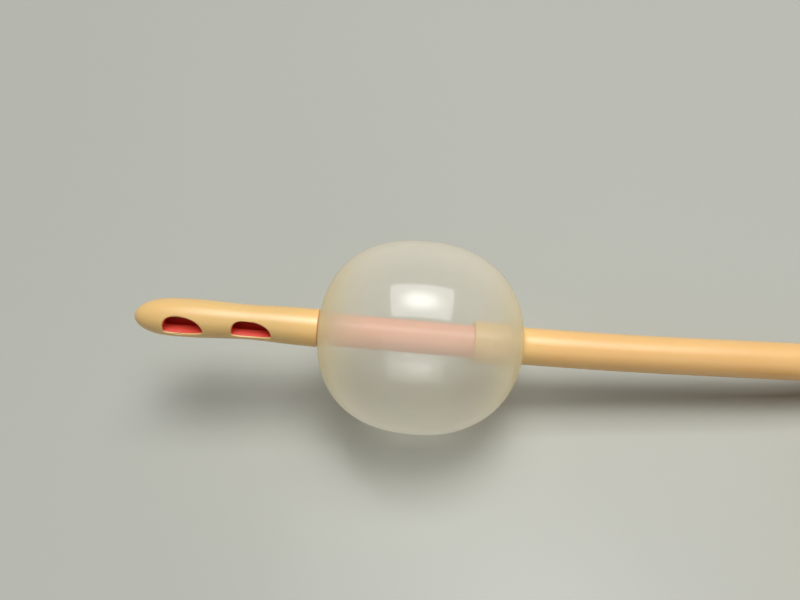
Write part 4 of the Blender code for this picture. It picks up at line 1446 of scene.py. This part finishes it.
@dataclass
class CheckValve:
    """The valve in the arm's end: luer housing, collar, sprung poppet with its seal, retainer.

    Distances run outwards from the arm's end face, and profiles are written in mm.
    """

    line: StraightLine
    finishes: Finishes
    sides: int = 72
    lug_at: float = 8.75 * MM
    lug_length: float = 1.1 * MM
    travel: float = 1.3 * MM
    wire_radius: float = 0.17 * MM
    coil_radius: float = 1.33 * MM
    coils: float = 4.5

    def piece(
        self, name: str, profile_mm: Sequence[tuple[float, float]], material: Material, body: Body,
        node: str, ends: Ends = Ends.RING, soft: float = 0.06 * MM,
    ) -> Object:
        """Turn a profile with softened corners into one piece of the valve.

        Args:
            name: The piece's name.
            profile_mm: (distance, radius) rows in mm.
            material: Its material.
            body: The body it rides on.
            node: The CAD node it replaces.
            ends: RING for a hollow piece.
            soft: How far the corners are rounded.

        Returns:
            The finished piece.
        """
        profile = MM * np.array(profile_mm)
        if ends is Ends.RING:
            closed = np.concatenate((profile[-1:], profile, profile[:1]))
            outline = rounded(closed, soft)[1:-1]
        else:
            outline = rounded(profile, soft)
        obj = add_object(name, turned(self.line, outline, self.sides, ends), material)
        return finish_piece(obj, body, (node,))

    def lug(self, side: int) -> Surface:
        """Make one ear of the luer lock: a sector with straight flanks and a slightly round end.

        Args:
            side: 1 for the ear on top and -1 for the one below.

        Returns:
            The closed ear.
        """
        half, foot, reach, span = 1.5 * MM, 2.85 * MM, 3.654 * MM, 3.95 * MM
        outline = np.array((
            (-half, foot), (half, foot), (half, reach), (0.0, span), (-half, reach),
        )) * np.array((1.0, side))
        if side < 0:
            outline = outline[::-1]
        base = self.line.origin + self.lug_at * self.line.forward
        line = StraightLine(base, self.line.forward, self.line.left, self.line.up)
        return prism(line, outline, self.lug_length)

    def build_housing(self) -> Object:
        """Make the housing: luer socket with two ears, flange, chamber and barbed stem.

        Returns:
            The finished piece.
        """
        stem_end, chamber_end, floor, seat, mouth = -11.77, -6.57, -5.87, 1.1, 10.0
        stem, barb, chamber, flange, luer = 2.1, 2.35, 3.0, 4.6, 3.35
        housing = self.piece("luer_housing", (
            (stem_end, 1.0), (stem_end, 1.8), (-9.97, barb), (-9.93, stem), (-9.52, stem),
            (-7.72, barb), (-7.68, stem), (chamber_end, stem), (chamber_end, 2.7),
            (chamber_end + 0.3, chamber), (0.03, chamber), (0.03, 4.4), (0.23, flange),
            (0.8, flange), (1.0, 4.4), (1.0, 3.65), (1.4, luer), (8.9, luer), (9.8, 3.25),
            (mouth, 3.05), (mouth, 2.36), (9.8, 2.16), (2.0, 1.92), (2.0, 1.2), (seat, 1.2),
            (seat, 2.2), (floor, 2.2), (floor, 1.0),
        ), self.finishes.white, Body.CATHETER, "valve_housing")
        for side in (1, -1):
            cut(housing, self.lug(side), Cut.UNION, self.finishes.white)
        smooth(housing)
        return housing

    def build_retainer(self) -> Object:
        """Make the flat ring that the spring stands on, with three flow notches in its rim.

        The rim is at 2.14 mm less 0.6 mm times 4 cos 3(a - a0) - 2.9, held between 0 and 1.

        Returns:
            The finished piece.
        """
        low, high, first_notch = -5.84, -5.14, math.radians(52.5)
        count = 96
        angle = np.arange(count) * math.tau / count
        notch = np.clip(4.0 * np.cos(3.0 * (angle - first_notch)) - 2.9, 0.0, 1.0)
        rim = 2.14 * MM - 0.6 * MM * notch
        hole = np.full(count, 0.80 * MM)
        radius = np.stack((hole, rim, rim, hole))
        frames = self.line.frames(np.array((low, low, high, high)) * MM)
        grid = frames.place(radius * np.cos(angle), radius * np.sin(angle))
        surface = grid_surface(grid, grid, Ends.RING)
        obj = add_object("flow_retainer", surface, self.finishes.white)
        return finish_piece(obj, Body.CATHETER, ("spring_retainer",))

    def build_spring(self) -> Object:
        """Make the spring at one length; the real one shortens as the poppet goes in.

        Its centre is origin + s * forward + coil radius * (cos a * left + sin a * up), and a
        round section is carried along it. A point closes the wire at each end.

        Returns:
            The finished piece.
        """
        start, end, wire = -5.11 * MM, -0.59 * MM, self.wire_radius
        share = np.linspace(0.0, 1.0, 200)
        turn = math.tau * self.coils * share
        s = start + wire + (end - start - 2 * wire) * share
        outward = np.cos(turn)[:, None] * self.line.left + np.sin(turn)[:, None] * self.line.up
        centre = self.line.origin + s[:, None] * self.line.forward + self.coil_radius * outward
        angle = np.arange(16) * math.tau / 16
        ring = np.cos(angle)[:, None] * outward[:, None]
        ring = ring - np.sin(angle)[:, None] * self.line.forward
        rows = np.concatenate(([0], np.arange(len(share)), [len(share) - 1]))
        thick = np.ones(len(rows))
        thick[[0, -1]] = 0.0
        grid = centre[rows][:, None] + wire * thick[:, None, None] * ring[rows]
        along = share[rows] * math.tau * self.coil_radius * self.coils
        straight = np.stack(np.broadcast_arrays(
            along[:, None], wire * np.cos(angle), wire * np.sin(angle)), axis=-1)
        surface = grid_surface(grid, straight)
        obj = add_object("return_spring", surface, self.finishes.steel)
        finish_piece(obj, Body.CATHETER, ("valve_spring",))
        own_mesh(obj)
        return obj

    def build(self) -> list[Object]:
        """Make every piece of the valve.

        Returns:
            The finished pieces.
        """
        housing = self.build_housing()
        collar = self.piece(
            "size_band", ((-6.8, 4.03), (-6.8, 4.75), (0.0, 4.75), (0.0, 4.03)),
            self.finishes.orange, Body.CATHETER, "size_collar", soft=0.3 * MM,
        )
        poppet = self.piece("valve_pin", (
            (-5.64, 0.0), (-5.64, 0.75), (-0.56, 0.75), (-0.56, 1.8), (0.24, 1.8), (0.24, 0.7),
            (5.0, 0.7), (5.2, 0.5), (5.2, 0.0),
        ), self.finishes.blue, Body.POPPET, "valve_poppet", Ends.OPEN)
        seal = self.piece(
            "seal_washer", ((0.27, 0.73), (0.27, 1.85), (0.87, 1.85), (1.07, 1.65), (1.07, 0.73)),
            self.finishes.black, Body.POPPET, "poppet_seal", soft=0.1 * MM,
        )
        retainer, spring = self.build_retainer(), self.build_spring()
        return [housing, collar, poppet, seal, retainer, spring]


# --------------------------------------------------------------------------- stage


@dataclass(frozen=True)
class Softbox:
    """A rectangular light that faces the balloon and that the camera doesn't see.

    Attributes:
        name: The light's name.
        direction: From the balloon to the light.
        distance: How far away it is.
        size: Its sides.
        radiance: Brightness of its face. Its power is radiance * area * pi.
        middle: How many times as bright its middle is.
        edge: How many times as bright it is from FADE_END of its size outwards.
    """

    FADE_END = 0.42

    name: str
    direction: tuple[float, float, float]
    distance: float
    size: tuple[float, float]
    radiance: float
    middle: float = 1.0
    edge: float = 1.0

    def build(self, foot: Array) -> None:
        """Add the light.

        Args:
            foot: The floor point that it faces.
        """
        light = bpy.data.lights.new(self.name, "AREA")
        light.shape, light.size, light.size_y = "RECTANGLE", *self.size
        light.energy = self.radiance * self.size[0] * self.size[1] * math.pi
        light.use_nodes = True
        tree = light.node_tree
        place = add_node(tree, "NewGeometry")
        off_middle = add_node(
            tree, "VectorMath", {"operation": "DISTANCE"}, {1: (0.5, 0.5, 0.0)},
            {0: place.outputs["Parametric"]},
        )
        fade = add_node(
            tree, "MapRange", {"interpolation_type": "SMOOTHERSTEP"}, {
                "From Min": 0.0, "From Max": self.FADE_END, "To Min": self.middle,
                "To Max": self.edge,
            }, {"Value": off_middle.outputs["Value"]},
        )
        tree.links.new(fade.outputs[0], tree.nodes["Emission"].inputs["Strength"])
        obj = bpy.data.objects.new(self.name, light)
        bpy.context.scene.collection.objects.link(obj)
        obj.visible_camera = False
        away = Vector(self.direction).normalized()
        across = Vector((away.z, 0.0, -away.x)).normalized()
        turn = Matrix((across, away.cross(across), away)).transposed().to_4x4()
        obj.matrix_world = Matrix.Translation(Vector(foot) + away * self.distance) @ turn


@dataclass
class Studio:
    """Table top, soft lights and the camera at the photograph's place.

    The first light's mirror image is the balloon's window-like highlight. The second one is the
    dim wall behind the camera that lights the eyes' insides and the balloon's lower half.
    """

    balloon_foot: Array
    table_half: float = 1.5
    table_drop: float = 0.02 * MM
    lights: tuple[Softbox, ...] = (
        Softbox("softbox", (0.125, 0.13, 1.0), 0.9, (0.705, 0.645), 5.45, middle=2.4, edge=0.85),
        Softbox("wall_light", (0.1, -1.0, 0.8), 1.3, (1.5, 0.9), 0.55),
    )
    room_light: float = 0.07
    room_seen: float = 0.85
    lens_px: float = 676.0
    frame_px: float = 800.0
    camera_at_mm: tuple[float, float, float] = (5.28, -53.92, 93.33)
    camera_right: tuple[float, float, float] = (0.99643, 0.05151, -0.06689)
    camera_up: tuple[float, float, float] = (-0.00052, 0.79603, 0.60526)

    def build_table(self) -> None:
        """Add the table top, a plain plane just below the floor that the catheter lies on."""
        half = self.table_half
        corner = ((-half, -half), (half, -half), (half, half), (-half, half))
        mesh = bpy.data.meshes.new("table_top")
        mesh.from_pydata([(x, y, -self.table_drop) for x, y in corner], [], [(0, 1, 2, 3)])
        finish = TableTop("lacquered_table", "B9BAB1", "B3B4AB").make()
        add_object("table_top", mesh, finish)

    def build_room(self) -> None:
        """Add the room: pale where it is seen or mirrored, and dim in the light that it gives."""
        world = bpy.data.worlds.new("studio_room")
        world.use_nodes = True
        tree = world.node_tree
        ray = add_node(tree, "LightPath").outputs
        mirrored = add_node(
            tree, "Math", {"operation": "MAXIMUM"},
            links={0: ray["Is Glossy Ray"], 1: ray["Is Transmission Ray"]},
        )
        seen = add_node(
            tree, "Math", {"operation": "MAXIMUM"}, links={0: ray["Is Camera Ray"], 1: mirrored},
        )
        strength = add_node(
            tree, "MapRange", values={"To Min": self.room_light, "To Max": self.room_seen},
            links={"Value": seen},
        )
        background = tree.nodes["Background"]
        background.inputs["Color"].default_value = linear("D8DCDC")
        tree.links.new(strength.outputs[0], background.inputs["Strength"])
        bpy.context.scene.world = world

    def build_camera(self) -> None:
        """Add the camera, whose place and turn were worked out from the photograph."""
        camera = bpy.data.cameras.new("camera")
        camera.sensor_width = 36.0
        camera.lens = self.lens_px / self.frame_px * camera.sensor_width
        camera.clip_start, camera.clip_end = 0.005, 20.0
        obj = bpy.data.objects.new("camera", camera)
        bpy.context.scene.collection.objects.link(obj)
        right = Vector(self.camera_right).normalized()
        back = right.cross(Vector(self.camera_up)).normalized()
        turn = Matrix((right, back.cross(right), back)).transposed().to_4x4()
        place = Vector(self.balloon_foot) + Vector(self.camera_at_mm) * MM
        obj.matrix_world = Matrix.Translation(place) @ turn
        bpy.context.scene.camera = obj

    def build(self) -> None:
        """Set the whole stage, with colours shown as they are."""
        self.build_table()
        for light in self.lights:
            light.build(self.balloon_foot)
        self.build_room()
        self.build_camera()
        bpy.context.scene.view_settings.view_transform = "Standard"
        LOG.info("stage: table, %d lights, room and camera", len(self.lights))


def main() -> None:
    """Load the frame, build every piece on it and set the stage."""
    logging.basicConfig(level=logging.INFO, format="%(name)s: %(message)s")
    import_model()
    drift = np.array(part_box("tip_coat")[0])[0] - (LAY_ORIGIN[0] + LAY_MM[0][0] * MM)
    LOG.info("the tip of the packed frame is %.3f mm from the laid line's start", drift / MM)
    finishes = Finishes()
    shaft = Shaft(LaidLine(np.array(LAY_MM) * MM + LAY_ORIGIN), finishes)
    shaft.build_core()
    shaft.build_tip_coat()
    hose = shaft.build_hose()
    Balloon(shaft).build()
    funnel = Funnel(shaft)
    moulding = funnel.build()
    valve = CheckValve(funnel.valve, finishes).build()
    shaft.declare_cord()
    Studio(LAY_ORIGIN).build()


if __name__ == "__main__":
    main()
